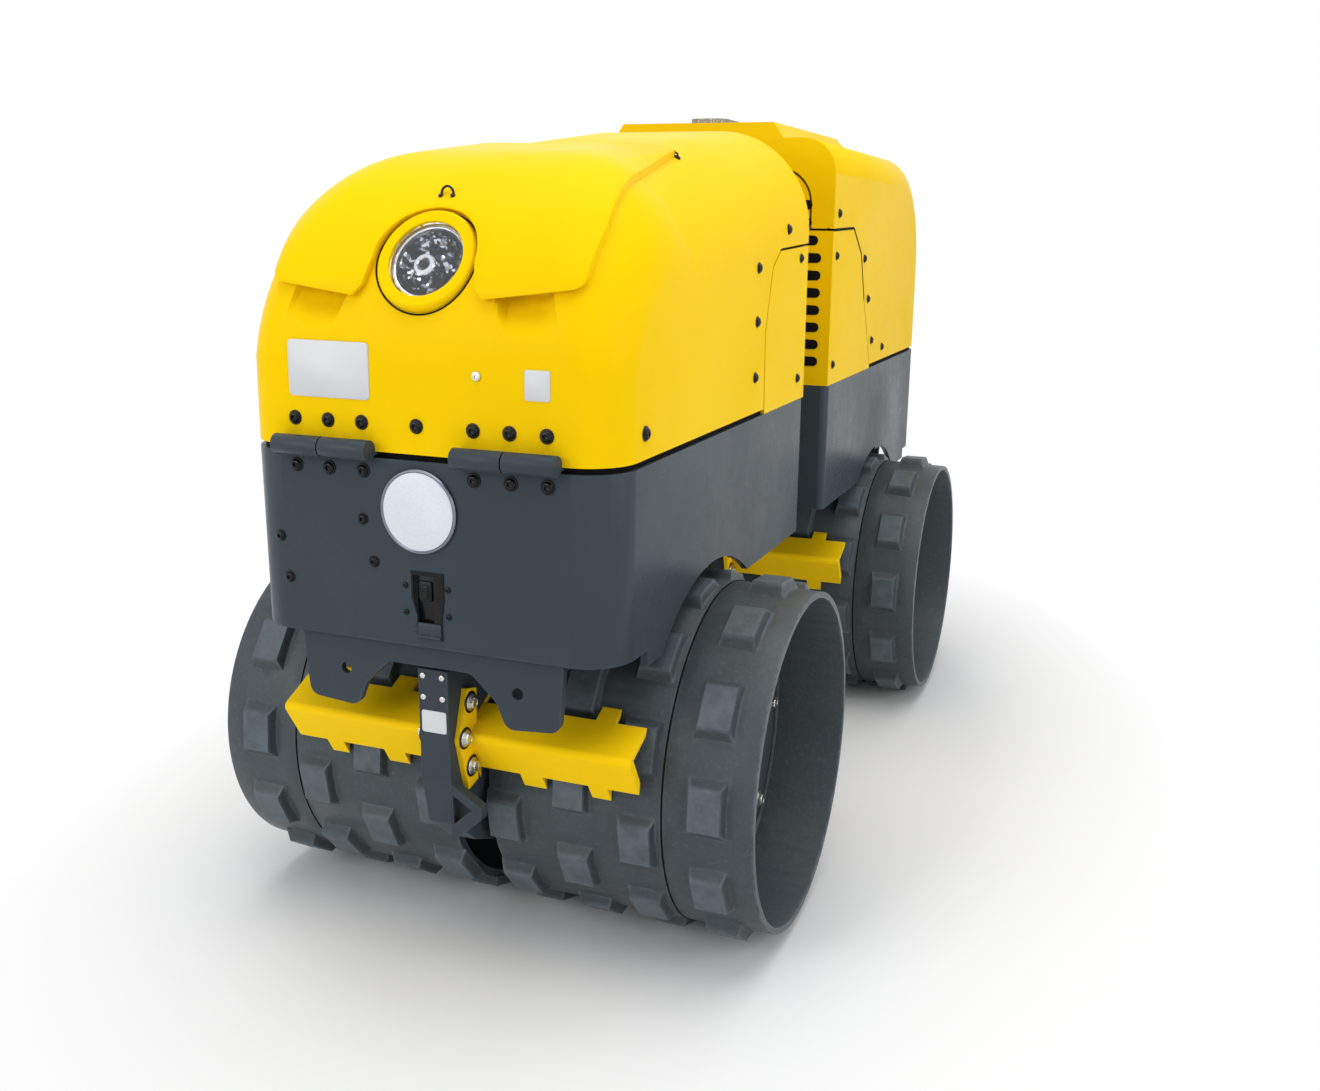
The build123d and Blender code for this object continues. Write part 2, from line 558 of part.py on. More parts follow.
# Steering cylinder, drawn on a plane that runs from its anchor to the swivel's arm
RUN_X = ARM_X - ANCHOR_X
RUN_Y = ARM_Y + ANCHOR_BACK
CYLINDER_LENGTH = math.hypot(RUN_X, RUN_Y)
along = Vector(RUN_X, RUN_Y, 0).normalized()
across = Vector(RUN_Y, -RUN_X, 0).normalized()
anchor_point = Vector(ANCHOR_X, PIVOT_Y - ANCHOR_BACK, CYLINDER_Z)
with BuildPart() as cylinder_barrel:
    with BuildSketch(Plane(anchor_point - Vector(0, 0, EYE_HALF), x_dir=across, z_dir=(0, 0, 1))) as barrel_eye:
        Circle(BARREL_EYE_R)
    extrude(amount=2 * EYE_HALF)
    with BuildSketch(Plane(anchor_point + along * TUBE_START, x_dir=across, z_dir=along)) as tube:
        Circle(TUBE_R)
    extrude(amount=TUBE_END - TUBE_START)
    for low, depth in ((EYE_HALF, 2 * TUBE_R), (-EYE_HALF, -2 * TUBE_R)):
        with BuildSketch(Plane(anchor_point + Vector(0, 0, low), x_dir=across, z_dir=(0, 0, 1))) as flats:
            Rectangle(4 * TUBE_R, 2 * (ANCHOR_WIDTH / 2 + EYE_GAP))
        extrude(amount=depth, mode=Mode.SUBTRACT)
    with BuildSketch(Plane(anchor_point - Vector(0, 0, TUBE_R), x_dir=across, z_dir=(0, 0, 1))) as eye_bore:
        Circle(ANCHOR_PIN_R + RUNNING_GAP)
    extrude(amount=2 * TUBE_R, mode=Mode.SUBTRACT)
    with BuildSketch(Plane(anchor_point + along * TUBE_BLIND, x_dir=across, z_dir=along)) as tube_bore:
        Circle(ROD_R + RUNNING_GAP)
    extrude(amount=TUBE_END, mode=Mode.SUBTRACT)
cylinder_barrel.part.label = "steering_cylinder_barrel"
export_step(cylinder_barrel.part, "parts/steering_cylinder_barrel.step")

rod_point = anchor_point + along * CYLINDER_LENGTH
rod_start = TUBE_END - ROD_INSIDE
with BuildPart() as cylinder_rod:
    with BuildSketch(Plane(anchor_point + along * rod_start, x_dir=across, z_dir=along)) as rod_round:
        Circle(ROD_R)
    extrude(amount=CYLINDER_LENGTH - rod_start - ROD_EYE_BORE - 1)
    with BuildSketch(Plane(rod_point - Vector(0, 0, EYE_HALF), x_dir=across, z_dir=(0, 0, 1))) as rod_eye:
        Circle(ROD_EYE_R)
    extrude(amount=2 * EYE_HALF)
    with BuildSketch(Plane(rod_point - Vector(0, 0, EYE_HALF + 1), x_dir=across, z_dir=(0, 0, 1))) as rod_bore:
        Circle(ROD_EYE_BORE)
    extrude(amount=2 * EYE_HALF + 2, mode=Mode.SUBTRACT)
cylinder_rod.part.label = "steering_cylinder_rod"
export_step(cylinder_rod.part, "parts/steering_cylinder_rod.step")

# Centre of the front hood's round shoulder, and the leans of its front wall and its top from upright
shoulder_point = Vector(0, FRONT_Y + FRONT_LEAN, FRONT_SHOULDER_TOP)
upward = (shoulder_point - Vector(0, FRONT_Y, FRAME_TOP)).normalized()
rearward = (Vector(0, FRONT_INNER_Y, FRONT_HOOD_TOP) - shoulder_point).normalized()
half_angle = (math.pi - math.radians(upward.get_angle(rearward))) / 2
round_centre = shoulder_point + (rearward - upward).normalized() * (FRONT_SHOULDER_R / math.sin(half_angle))
wall_lean = math.atan2(upward.Y, upward.Z)
top_lean = math.atan2(rearward.Y, rearward.Z)

# Front hood: the same form three times, for the outside, the inside and the raised lid.
# Its side rims grow rounder along the shoulder, from the frame's corners to the top.
FRONT_FORMS = {}
for wall in (0.0, HOOD_WALL, -LID_RAISE):
    width = 2 * (BODY_HALF_WIDTH - wall)
    depth = SHOULDER_DEPTH - wall
    stations = []
    with BuildPart() as form:
        for i in range(SHOULDER_STATIONS + 1):
            share = i / SHOULDER_STATIONS
            lean = wall_lean + share * (top_lean - wall_lean)
            along = (0, math.sin(lean), math.cos(lean))
            with BuildSketch(Plane(origin=round_centre, x_dir=(1, 0, 0), z_dir=along)) as station:
                with Locations((0, depth / 2 - FRONT_SHOULDER_R + wall)):
                    Rectangle(width, depth)
                rim_r = CORNER_R + share * (TOP_CORNER_R - CORNER_R) - wall
                fillet(station.vertices().group_by(Axis.Y)[0], rim_r)
            stations.append(station.sketch)
        loft()
        extrude(stations[0], amount=-(round_centre.Z - FRAME_TOP + CORNER_R))
        extrude(stations[-1], amount=FRONT_INNER_Y - round_centre.Y + CORNER_R)
        core_r = FRONT_SHOULDER_R - SHOULDER_DEPTH / 2
        core_front = round_centre + Vector(0, -math.cos(wall_lean), math.sin(wall_lean)) * core_r
        core_top = round_centre + Vector(0, -math.cos(top_lean), math.sin(top_lean)) * core_r
        core_end = core_top + rearward * (2 * BODY_HALF_WIDTH + CORNER_R)
        with BuildSketch(Plane.YZ.offset(-width / 2)) as core:
            with BuildLine():
                Polyline((core_front.Y, FRAME_TOP - CORNER_R), (core_front.Y, core_front.Z), (core_top.Y, core_top.Z),
                         (core_end.Y, core_end.Z), (core_end.Y, FRAME_TOP - CORNER_R), close=True)
            make_face()
        extrude(amount=width)
        reach = FRONT_INNER_Y - FRONT_Y - wall
        with Locations((0, FRONT_INNER_Y - wall - reach, FRAME_TOP + FRONT_HOOD_TOP)):
            Box(width, 2 * reach, 2 * FRONT_HOOD_TOP, mode=Mode.INTERSECT)
    FRONT_FORMS[wall] = form.part

# Rear hood: the same form twice, with a raised middle
REAR_FORMS = {}
for wall in (0.0, HOOD_WALL):
    with BuildPart() as form:
        with BuildSketch(Plane.YZ.offset(-BODY_HALF_WIDTH + wall)) as profile:
            with BuildLine():
                Polyline((REAR_INNER_Y + wall, FRAME_TOP), (REAR_INNER_Y + wall, REAR_HOOD_TOP - wall),
                         (REAR_Y - wall - REAR_LEAN, REAR_HOOD_TOP - wall - REAR_FALL),
                         (REAR_Y - wall, FRAME_TOP), (REAR_INNER_Y + wall, FRAME_TOP))
            make_face()
            back_top = profile.vertices().filter_by(lambda v: v.Y > HOOD_BOTTOM + 1).sort_by(Axis.X)[-1]
            fillet(back_top, REAR_SHOULDER_R - wall)
        extrude(amount=2 * (BODY_HALF_WIDTH - wall))
        rims = form.edges().filter_by(lambda e: e.center().Z > HOOD_BOTTOM + 1)
        rims = rims.filter_by(lambda e: e.center().Y > REAR_INNER_Y + wall + 1)
        rims = rims.filter_by(lambda e: abs(e.center().X) > BODY_HALF_WIDTH / 2)
        fillet(rims, CORNER_R - wall)
        low_z = REAR_HOOD_TOP - wall - REAR_FALL - 10
        for_y = REAR_INNER_Y + wall
        with BuildSketch(Plane.XY.offset(low_z)) as plateau_foot:
            with Locations((0, for_y + PLATEAU_LENGTH / 2)):
                Rectangle(2 * (PLATEAU_HALF - wall), PLATEAU_LENGTH)
        with BuildSketch(Plane.XY.offset(REAR_HOOD_TOP + PLATEAU_RISE - wall)) as plateau_top:
            with Locations((0, for_y + (PLATEAU_LENGTH - PLATEAU_SLOPE) / 2)):
                Rectangle(2 * (PLATEAU_HALF - wall - PLATEAU_SLOPE / 2), PLATEAU_LENGTH - PLATEAU_SLOPE)
        loft(sections=[plateau_foot.sketch, plateau_top.sketch])
    REAR_FORMS[wall] = form.part

# Wings of the two fixed bulkheads: distance from the inner end, height above the seam
WINGS = {
    "front": [(0.0, 250.0), (160.0, 243.0), (200.0, 218.0), (231.0, 120.0), (227.0, -SEAM_GAP)],
    "rear": [(0.0, 274.0), (157.0, 278.0), (228.0, 230.0), (270.0, 139.0), (354.0, -SEAM_GAP)],
}
WING_CORNER_R = 16.0
CUTTERS = {}
for half, s, axle_y, inner_y, outer_y in HALVES:
    for clearance in (0.0, PANEL_GAP):
        with BuildPart() as cutter:
            with BuildSketch(Plane.XZ.offset(-(inner_y - s))) as wall_area:
                with Locations((0, (BULKHEAD_TOP + clearance + FRAME_TOP) / 2)):
                    Rectangle(2 * (BULKHEAD_HALF + clearance), BULKHEAD_TOP + clearance - FRAME_TOP)
                fillet(wall_area.vertices().sort_by(Axis.Y)[-2:], BULKHEAD_R + clearance)
            extrude(amount=-s * (HOOD_WALL + 1))
            with BuildSketch(Plane.YZ.offset(-BODY_HALF_WIDTH - 1)) as wing_area:
                with BuildLine():
                    Polyline([(inner_y - s * 60, SEAM_Z + WINGS[half][0][1])]
                             + [(inner_y + s * along_y, SEAM_Z + rise) for along_y, rise in WINGS[half]]
                             + [(inner_y - s * 60, SEAM_Z - SEAM_GAP)], close=True)
                make_face()
                upper = wing_area.vertices().filter_by(lambda v: v.Y > SEAM_Z + 60)
                fillet(upper.filter_by(lambda v: s * (v.X - inner_y) > 10), WING_CORNER_R)
                if clearance > 0:
                    offset(amount=clearance)
            extrude(amount=2 * BODY_HALF_WIDTH + 2)
        CUTTERS[half, clearance] = cutter.part

# half, name, outside form, inside form, inner end
BULKHEADS = [
    ("front", "front_bulkhead", FRONT_FORMS[0.0], FRONT_FORMS[HOOD_WALL], FRONT_INNER_Y),
    ("rear", "rear_vent_bulkhead", REAR_FORMS[0.0], REAR_FORMS[HOOD_WALL], REAR_INNER_Y),
]
for half, name, outside, inside, inner_y in BULKHEADS:
    with BuildPart() as bulkhead:
        add(outside)
        add(inside, mode=Mode.SUBTRACT)
        add(CUTTERS[half, 0.0], mode=Mode.INTERSECT)
        if half == "rear":
            for side, t in SIDES:
                for i in range(SLOTS):
                    slot_z = SLOT_LOW + i * SLOT_PITCH
                    outer_x = SLOT_OUTER_X if slot_z + SLOT_PITCH < SEAM_Z + WINGS[half][0][1] else SLOT_UPPER_X
                    with BuildSketch(Plane.XZ.offset(-inner_y)) as slot:
                        with Locations((t * (SLOT_INNER_X + outer_x) / 2, slot_z)):
                            SlotOverall(outer_x - SLOT_INNER_X, SLOT_HEIGHT)
                    extrude(amount=2 * HOOD_WALL, both=True, mode=Mode.SUBTRACT)
    bulkhead.part.label = name
    export_step(bulkhead.part, f"parts/{name}.step")

# Plane of the lamp, touching the round shoulder of the front hood
tilt = math.radians(LAMP_TILT)
lamp_normal = Vector(0, -math.cos(tilt), math.sin(tilt))
lamp_centre = round_centre + lamp_normal * FRONT_SHOULDER_R
lamp_plane = Plane(origin=lamp_centre, x_dir=(1, 0, 0), z_dir=lamp_normal)

# Hood shell with a seat for the lamp and an air scoop below each foot of the lid
with BuildPart() as front_hood:
    add(FRONT_FORMS[0.0])
    add(FRONT_FORMS[HOOD_WALL], mode=Mode.SUBTRACT)
    scoop_x = (SCOOP_INNER_X + SCOOP_OUTER_X) / 2
    scoop_top = SEAM_Z + LID_RISE - 6
    for side, t in SIDES:
        with BuildPart(mode=Mode.PRIVATE) as scoop_back:
            with Locations((t * scoop_x, FRONT_Y + 28, scoop_top - SCOOP_HEIGHT / 2)):
                Box(SCOOP_OUTER_X - SCOOP_INNER_X + 12, 44, SCOOP_HEIGHT + 24)
            add(FRONT_FORMS[0.0], mode=Mode.INTERSECT)
        add(scoop_back.part)
    for side, t in SIDES:
        hollow_plane = Plane.YZ.offset(t * scoop_x)
        with BuildPart(mode=Mode.PRIVATE) as scoop_hollow:
            with BuildSketch(Plane.YZ) as scoop_side:
                with BuildLine():
                    Polyline((FRONT_Y + 4, scoop_top - SCOOP_HEIGHT), (FRONT_Y - 20, scoop_top - SCOOP_HEIGHT),
                             (FRONT_Y - 20, scoop_top + 4), (FRONT_Y + 20 + SCOOP_DEPTH, scoop_top + 4),
                             close=True)
                make_face()
            extrude(amount=(SCOOP_OUTER_X - SCOOP_INNER_X) / 2, both=True)
        turned = scoop_hollow.part.rotate(Axis((0, 0, scoop_top), (0, 1, 0)), -t * SCOOP_TURN)
        add(Location((t * scoop_x, 0, 0)) * turned, mode=Mode.SUBTRACT)
    with BuildSketch(lamp_plane.offset(-2 * LAMP_DEPTH)) as lamp_seat:
        Circle(BEZEL_R)
    extrude(amount=4 * LAMP_DEPTH, mode=Mode.SUBTRACT)
    add(CUTTERS["front", PANEL_GAP], mode=Mode.SUBTRACT)
    with Locations((0, PIVOT_Y, (FRAME_TOP + HOOD_BOTTOM) / 2)):
        Box(3 * BODY_HALF_WIDTH, 3 * REAR_END, HOOD_BOTTOM - FRAME_TOP, mode=Mode.SUBTRACT)
front_hood.part.label = "front_hood"
export_step(front_hood.part, "parts/front_hood.step")

# Raised lid on the front hood, with two feet and an arch over the lamp
LID_CORNER_R = 16.0
with BuildPart() as lid:
    add(FRONT_FORMS[-LID_RAISE])
    lid_low = SEAM_Z + LID_FOOT_RISE
    lid_high = SEAM_Z + LID_RISE
    with BuildSketch(Plane.XZ.offset(-FRONT_Y + 60)) as lid_front:
        with BuildLine():
            side_edge = Polyline((0, lid_low), (LID_FOOT_X, lid_low), (LID_HALF, lid_high),
                                 (LID_HALF + 3, SEAM_Z + 280), (LID_HALF + 3, FRONT_HOOD_TOP + 40),
                                 (0, FRONT_HOOD_TOP + 40))
            mirror(side_edge, about=Plane.YZ)
        make_face()
        fillet(lid_front.vertices().filter_by(lambda v: v.Y < SEAM_Z + 300 and abs(v.X) > LID_FOOT_X + 1),
               LID_CORNER_R)
    extrude(amount=-2 * FRONT_END, mode=Mode.INTERSECT)
    with BuildSketch(Plane.XY.offset(FRAME_TOP)) as lid_plan:
        with BuildLine():
            front_edge = Polyline((0, FRONT_Y - 60), (LID_HALF + 4, FRONT_Y - 60),
                                  (LID_HALF + 4, FRONT_Y + LID_SIDE_FRONT), (LID_CLIP_X, FRONT_Y + LID_SIDE_BACK),
                                  (LID_CLIP_X - 40, FRONT_Y + (LID_SIDE_BACK + LID_MIDDLE_BACK) / 2),
                                  (0, FRONT_Y + LID_MIDDLE_BACK))
            mirror(front_edge, about=Plane.YZ)
        make_face()
    extrude(amount=2 * FRONT_HOOD_TOP, mode=Mode.INTERSECT)
    add(FRONT_FORMS[0.0], mode=Mode.SUBTRACT)
    with BuildSketch(lamp_plane.offset(-2 * LAMP_DEPTH)) as lamp_arch:
        Circle(BEZEL_R + BEZEL_GAP)
    extrude(amount=4 * LAMP_DEPTH, mode=Mode.SUBTRACT)
    with BuildSketch(Plane.XZ.offset(-FRONT_Y + 60)) as lamp_mouth:
        with BuildLine():
            mouth_z = lamp_centre.Z
            mouth_edge = Polyline((0, mouth_z), (BEZEL_R + BEZEL_GAP, mouth_z), (LID_FOOT_X, lid_low + 14),
                                  (LID_FOOT_X + 14, lid_low - 1), (0, lid_low - 1))
            mirror(mouth_edge, about=Plane.YZ)
        make_face()
    extrude(amount=-200, mode=Mode.SUBTRACT)
lid.part.label = "front_hood_lid"
export_step(lid.part, "parts/front_hood_lid.step")

# Headlamp: a bezel ring in its seat, a bowl and a lens
with BuildPart() as bezel:
    with BuildSketch(lamp_plane.offset(-BEZEL_SEAT)) as bezel_ring:
        Circle(BEZEL_R)
        Circle(LAMP_R, mode=Mode.SUBTRACT)
    extrude(amount=BEZEL_SEAT + BEZEL_PROUD)
    front_face = bezel.faces().sort_by(Axis(lamp_centre, lamp_normal))[-1]
    chamfer(front_face.edges().sort_by(SortBy.LENGTH)[-1], BEZEL_PROUD - 1)
bezel.part.label = "headlamp_bezel"
export_step(bezel.part, "parts/headlamp_bezel.step")

with BuildPart() as bowl:
    with BuildSketch(lamp_plane.offset(-LAMP_DEPTH)) as bowl_disc:
        Circle(LAMP_R)
    extrude(amount=LAMP_DEPTH - LENS_THICK)
    with BuildSketch(lamp_plane.offset(-LENS_THICK)) as bowl_mouth:
        Circle(LAMP_R - 3)
    extrude(amount=-(LAMP_DEPTH - LENS_THICK - 4), taper=32, mode=Mode.SUBTRACT)
bowl.part.label = "headlamp_bowl"
export_step(bowl.part, "parts/headlamp_bowl.step")

with BuildPart() as lens:
    with BuildSketch(lamp_plane.offset(-LENS_THICK)) as lens_disc:
        Circle(LAMP_R)
    extrude(amount=LENS_THICK)
lens.part.label = "headlamp_lens"
export_step(lens.part, "parts/headlamp_lens.step")

with BuildPart() as rear_hood:
    add(REAR_FORMS[0.0])
    add(REAR_FORMS[HOOD_WALL], mode=Mode.SUBTRACT)
    add(CUTTERS["rear", PANEL_GAP], mode=Mode.SUBTRACT)
    with Locations((0, PIVOT_Y, (FRAME_TOP + HOOD_BOTTOM) / 2)):
        Box(3 * BODY_HALF_WIDTH, 3 * REAR_END, HOOD_BOTTOM - FRAME_TOP, mode=Mode.SUBTRACT)
rear_hood.part.label = "rear_hood"
export_step(rear_hood.part, "parts/rear_hood.step")

# Hood halves of the hinges: a leaf inside the hood, a neck through the seam and a bored knuckle
for half, s, axle_y, inner_y, outer_y in HALVES:
    hinge_y = outer_y + s * BARREL_STAND_OFF
    room_form = FRONT_FORMS[HOOD_WALL] if s < 0 else REAR_FORMS[HOOD_WALL]
    for side, t in SIDES:
        near, far = sorted((t * HINGE_INNER_X, t * HINGE_OUTER_X))
        knuckle = (far - near) / 2 - KNUCKLE_GAP
        leaf_x = far - knuckle / 2
        leaf_room = HOOD_WALL + FRONT_LEAN
        with BuildPart() as hinge_half:
            with Locations((leaf_x, outer_y - s * (leaf_room / 2), HOOD_BOTTOM + LEAF_HEIGHT / 2)):
                Box(knuckle, leaf_room + 0.5, LEAF_HEIGHT)
            add(room_form, mode=Mode.INTERSECT)
            neck_depth = BARREL_STAND_OFF + HOOD_WALL + LEAF_THICK
            neck_y = outer_y + s * (BARREL_STAND_OFF - neck_depth / 2)
            with Locations((leaf_x, neck_y, HOOD_BOTTOM - NECK_THICK / 2)):
                Box(knuckle, neck_depth, NECK_THICK)
            with BuildSketch(Plane.YZ.offset(leaf_x - knuckle / 2)) as knuckle_round:
                with Locations((hinge_y, HINGE_Z)):
                    Circle(BARREL_R)
            extrude(amount=knuckle)
            with BuildSketch(Plane.YZ.offset(leaf_x - knuckle / 2 - 1)) as knuckle_bore:
                with Locations((hinge_y, HINGE_Z)):
                    Circle(HINGE_PIN_R + RUNNING_GAP)
            extrude(amount=knuckle + 2, mode=Mode.SUBTRACT)
        hinge_half.part.label = f"{half}_hood_hinge_{side}"
        export_step(hinge_half.part, f"parts/{half}_hood_hinge_{side}.step")

# Engine as one plain block on the rear deck
ENGINE_LENGTH = 380.0
ENGINE_WIDTH = 330.0
ENGINE_HEIGHT = 360.0
ENGINE_FROM_PIVOT = 560.0
with BuildPart() as engine:
    with Locations((0, PIVOT_Y + ENGINE_FROM_PIVOT, DECK_TOP + ENGINE_HEIGHT / 2)):
        Box(ENGINE_WIDTH, ENGINE_LENGTH, ENGINE_HEIGHT)
    fillet(engine.edges().filter_by(Axis.Z), 20.0)
engine.part.label = "engine_block"
export_step(engine.part, "parts/engine_block.step")

# Signal receiver on top of the rear hood
RECEIVER_HEIGHT = 12.0
with BuildPart() as receiver:
    with Locations((0, PIVOT_Y + 190, REAR_HOOD_TOP + PLATEAU_RISE + RECEIVER_HEIGHT / 2)):
        Box(70, 110, RECEIVER_HEIGHT)
    fillet(receiver.edges().filter_by(Axis.Z), 20.0)
receiver.part.label = "signal_receiver"
export_step(receiver.part, "parts/signal_receiver.step")
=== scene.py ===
"""Looks of the trench roller: finishes, fasteners, lamp, rubber lips and black strips of painted shade in the
gaps, studio, camera. Metres, row frame.
"""
import json
import math

import bmesh
import bpy
from mathutils import Matrix, Vector
from mathutils.bvhtree import BVHTree


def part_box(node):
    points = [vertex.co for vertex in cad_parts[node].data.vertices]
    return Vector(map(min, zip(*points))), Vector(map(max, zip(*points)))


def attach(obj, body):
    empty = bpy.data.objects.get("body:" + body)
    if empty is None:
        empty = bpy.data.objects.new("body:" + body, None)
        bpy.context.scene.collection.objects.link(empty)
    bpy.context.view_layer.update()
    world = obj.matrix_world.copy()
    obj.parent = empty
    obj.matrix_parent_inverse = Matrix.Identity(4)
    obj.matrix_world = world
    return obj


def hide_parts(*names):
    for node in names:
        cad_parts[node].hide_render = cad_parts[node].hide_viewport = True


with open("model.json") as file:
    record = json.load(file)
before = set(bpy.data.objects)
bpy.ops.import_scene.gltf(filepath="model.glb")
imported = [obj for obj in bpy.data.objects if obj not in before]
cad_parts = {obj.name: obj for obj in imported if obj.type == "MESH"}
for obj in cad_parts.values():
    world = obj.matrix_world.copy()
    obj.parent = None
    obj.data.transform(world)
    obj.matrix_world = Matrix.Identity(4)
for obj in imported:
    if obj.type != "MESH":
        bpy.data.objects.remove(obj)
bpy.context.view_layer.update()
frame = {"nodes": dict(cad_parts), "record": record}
nodes = frame["nodes"]

# Camera
CAMERA_AT = Vector((0.8353, -2.2312, 1.0088))
YAW, PITCH, ROLL = 0.35946, 0.24280, 0.01397
back = Vector((math.sin(YAW) * math.cos(PITCH), -math.cos(YAW) * math.cos(PITCH), math.sin(PITCH)))
level = Vector((math.cos(YAW), math.sin(YAW), 0))
upright = back.cross(level)
right = math.cos(ROLL) * level + math.sin(ROLL) * upright
up = math.cos(ROLL) * upright - math.sin(ROLL) * level
camera_data = bpy.data.cameras.new("camera")
camera_data.sensor_width = 36.0
camera_data.sensor_fit = "HORIZONTAL"
camera_data.lens = 34.51
camera_data.shift_x = -0.0155
camera_data.shift_y = -0.0045
camera_data.clip_start = 0.05
camera = bpy.data.objects.new("camera", camera_data)
camera.matrix_world = Matrix.Translation(CAMERA_AT) @ Matrix((right, up, back)).transposed().to_4x4()
bpy.context.scene.collection.objects.link(camera)
bpy.context.scene.camera = camera
bpy.context.scene.view_settings.view_transform = "Standard"

# Key planes of the CAD model
HALVES = {"front": -1, "rear": 1}
SIDES = {"left": 1, "right": -1}
END_Y = {"front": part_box("front_hood")[0][1],
         "rear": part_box("rear_hood")[1][1]}
INNER_Y = {"front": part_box("front_hood")[1][1],
           "rear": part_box("rear_vent_bulkhead")[0][1]}
HALF_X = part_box("front_frame")[1][0]
SEAM_GAP = 0.008
SEAM_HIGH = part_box("front_hood")[0][2]
SEAM_LOW = SEAM_HIGH - SEAM_GAP
SEAM_Z = (SEAM_LOW + SEAM_HIGH) / 2
AXLE_Z = (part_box("front_axle")[0][2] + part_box("front_axle")[1][2]) / 2
AXLE_Y = {"front": (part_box("front_axle")[0][1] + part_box("front_axle")[1][1]) / 2,
          "rear": (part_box("rear_axle")[0][1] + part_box("rear_axle")[1][1]) / 2}
PAD_SIDE_R, PAD_TOP_R = 0.2560, 0.2605


# Node materials
def new_material(name):
    material = bpy.data.materials.new(name)
    material.use_nodes = True
    tree = material.node_tree
    return material, tree, tree.nodes["Principled BSDF"]


def node(tree, kind, **settings):
    n = tree.nodes.new("ShaderNode" + kind)
    for key, value in settings.items():
        setattr(n, key, value)
    return n


def noise(tree, coord, scale, detail=4.0, roughness=0.55):
    n = node(tree, "TexNoise")
    n.inputs["Scale"].default_value = scale
    n.inputs["Detail"].default_value = detail
    n.inputs["Roughness"].default_value = roughness
    tree.links.new(coord, n.inputs["Vector"])
    return n.outputs["Fac"]


def remap(tree, value, low, high, to_low=0.0, to_high=1.0):
    n = node(tree, "MapRange", clamp=True)
    for key, v in (("From Min", low), ("From Max", high), ("To Min", to_low), ("To Max", to_high)):
        n.inputs[key].default_value = v
    tree.links.new(value, n.inputs["Value"])
    return n.outputs["Result"]


def math_node(tree, operation, a, b):
    n = node(tree, "Math", operation=operation)
    for socket, v in zip(n.inputs, (a, b)):
        if isinstance(v, (int, float)):
            socket.default_value = v
        else:
            tree.links.new(v, socket)
    return n.outputs["Value"]


def vector_math(tree, operation, vector, value=None):
    n = node(tree, "VectorMath", operation=operation)
    tree.links.new(vector, n.inputs[0])
    if value is not None:
        n.inputs[1].default_value = value
    return n


def mix_color(tree, factor, a, b):
    n = node(tree, "Mix", data_type="RGBA", blend_type="MIX")
    for socket, v in ((n.inputs[0], factor), (n.inputs[6], a), (n.inputs[7], b)):
        if isinstance(v, (int, float)):
            socket.default_value = v
        elif isinstance(v, tuple):
            socket.default_value = (*v, 1.0)
        else:
            tree.links.new(v, socket)
    return n.outputs[2]


def edge_mask(tree, radius):
    """1 at outer and inner edges, 0 on flats."""
    b = node(tree, "Bevel", samples=4)
    b.inputs["Radius"].default_value = radius
    g = node(tree, "NewGeometry")
    d = node(tree, "VectorMath", operation="DOT_PRODUCT")
    tree.links.new(b.outputs["Normal"], d.inputs[0])
    tree.links.new(g.outputs["Normal"], d.inputs[1])
    return remap(tree, math_node(tree, "SUBTRACT", 1.0, d.outputs["Value"]), 0.02, 0.25)


def hollow_mask(tree):
    """1 deep in corners, 0 on open faces: the mask of the painted corner shade and dust."""
    ao = node(tree, "AmbientOcclusion", samples=4)
    ao.inputs["Distance"].default_value = 0.045
    return math_node(tree, "SUBTRACT", 1.0, ao.outputs["AO"])


def pad_top_light_mask(tree, coord):
    """Painted highlight: 1 on the tops of the drums' pads, which are painted lighter, by the distance from
    the nearer axle.
    """
    distances = []
    for axle_y in AXLE_Y.values():
        away = vector_math(tree, "SUBTRACT", coord, (0.0, axle_y, AXLE_Z))
        flat = vector_math(tree, "MULTIPLY", away.outputs["Vector"], (0.0, 1.0, 1.0))
        distances.append(vector_math(tree, "LENGTH", flat.outputs["Vector"]).outputs["Value"])
    return remap(tree, math_node(tree, "MINIMUM", *distances), PAD_SIDE_R, PAD_TOP_R)


def bump(tree, shader, layers):
    """layers: height, strength, distance in metres."""
    normal = None
    for height, strength, distance in layers:
        n = node(tree, "Bump")
        n.inputs["Strength"].default_value = strength
        n.inputs["Distance"].default_value = distance
        tree.links.new(height, n.inputs["Height"])
        if normal is not None:
            tree.links.new(normal, n.inputs["Normal"])
        normal = n.outputs["Normal"]
    tree.links.new(normal, shader.inputs["Normal"])


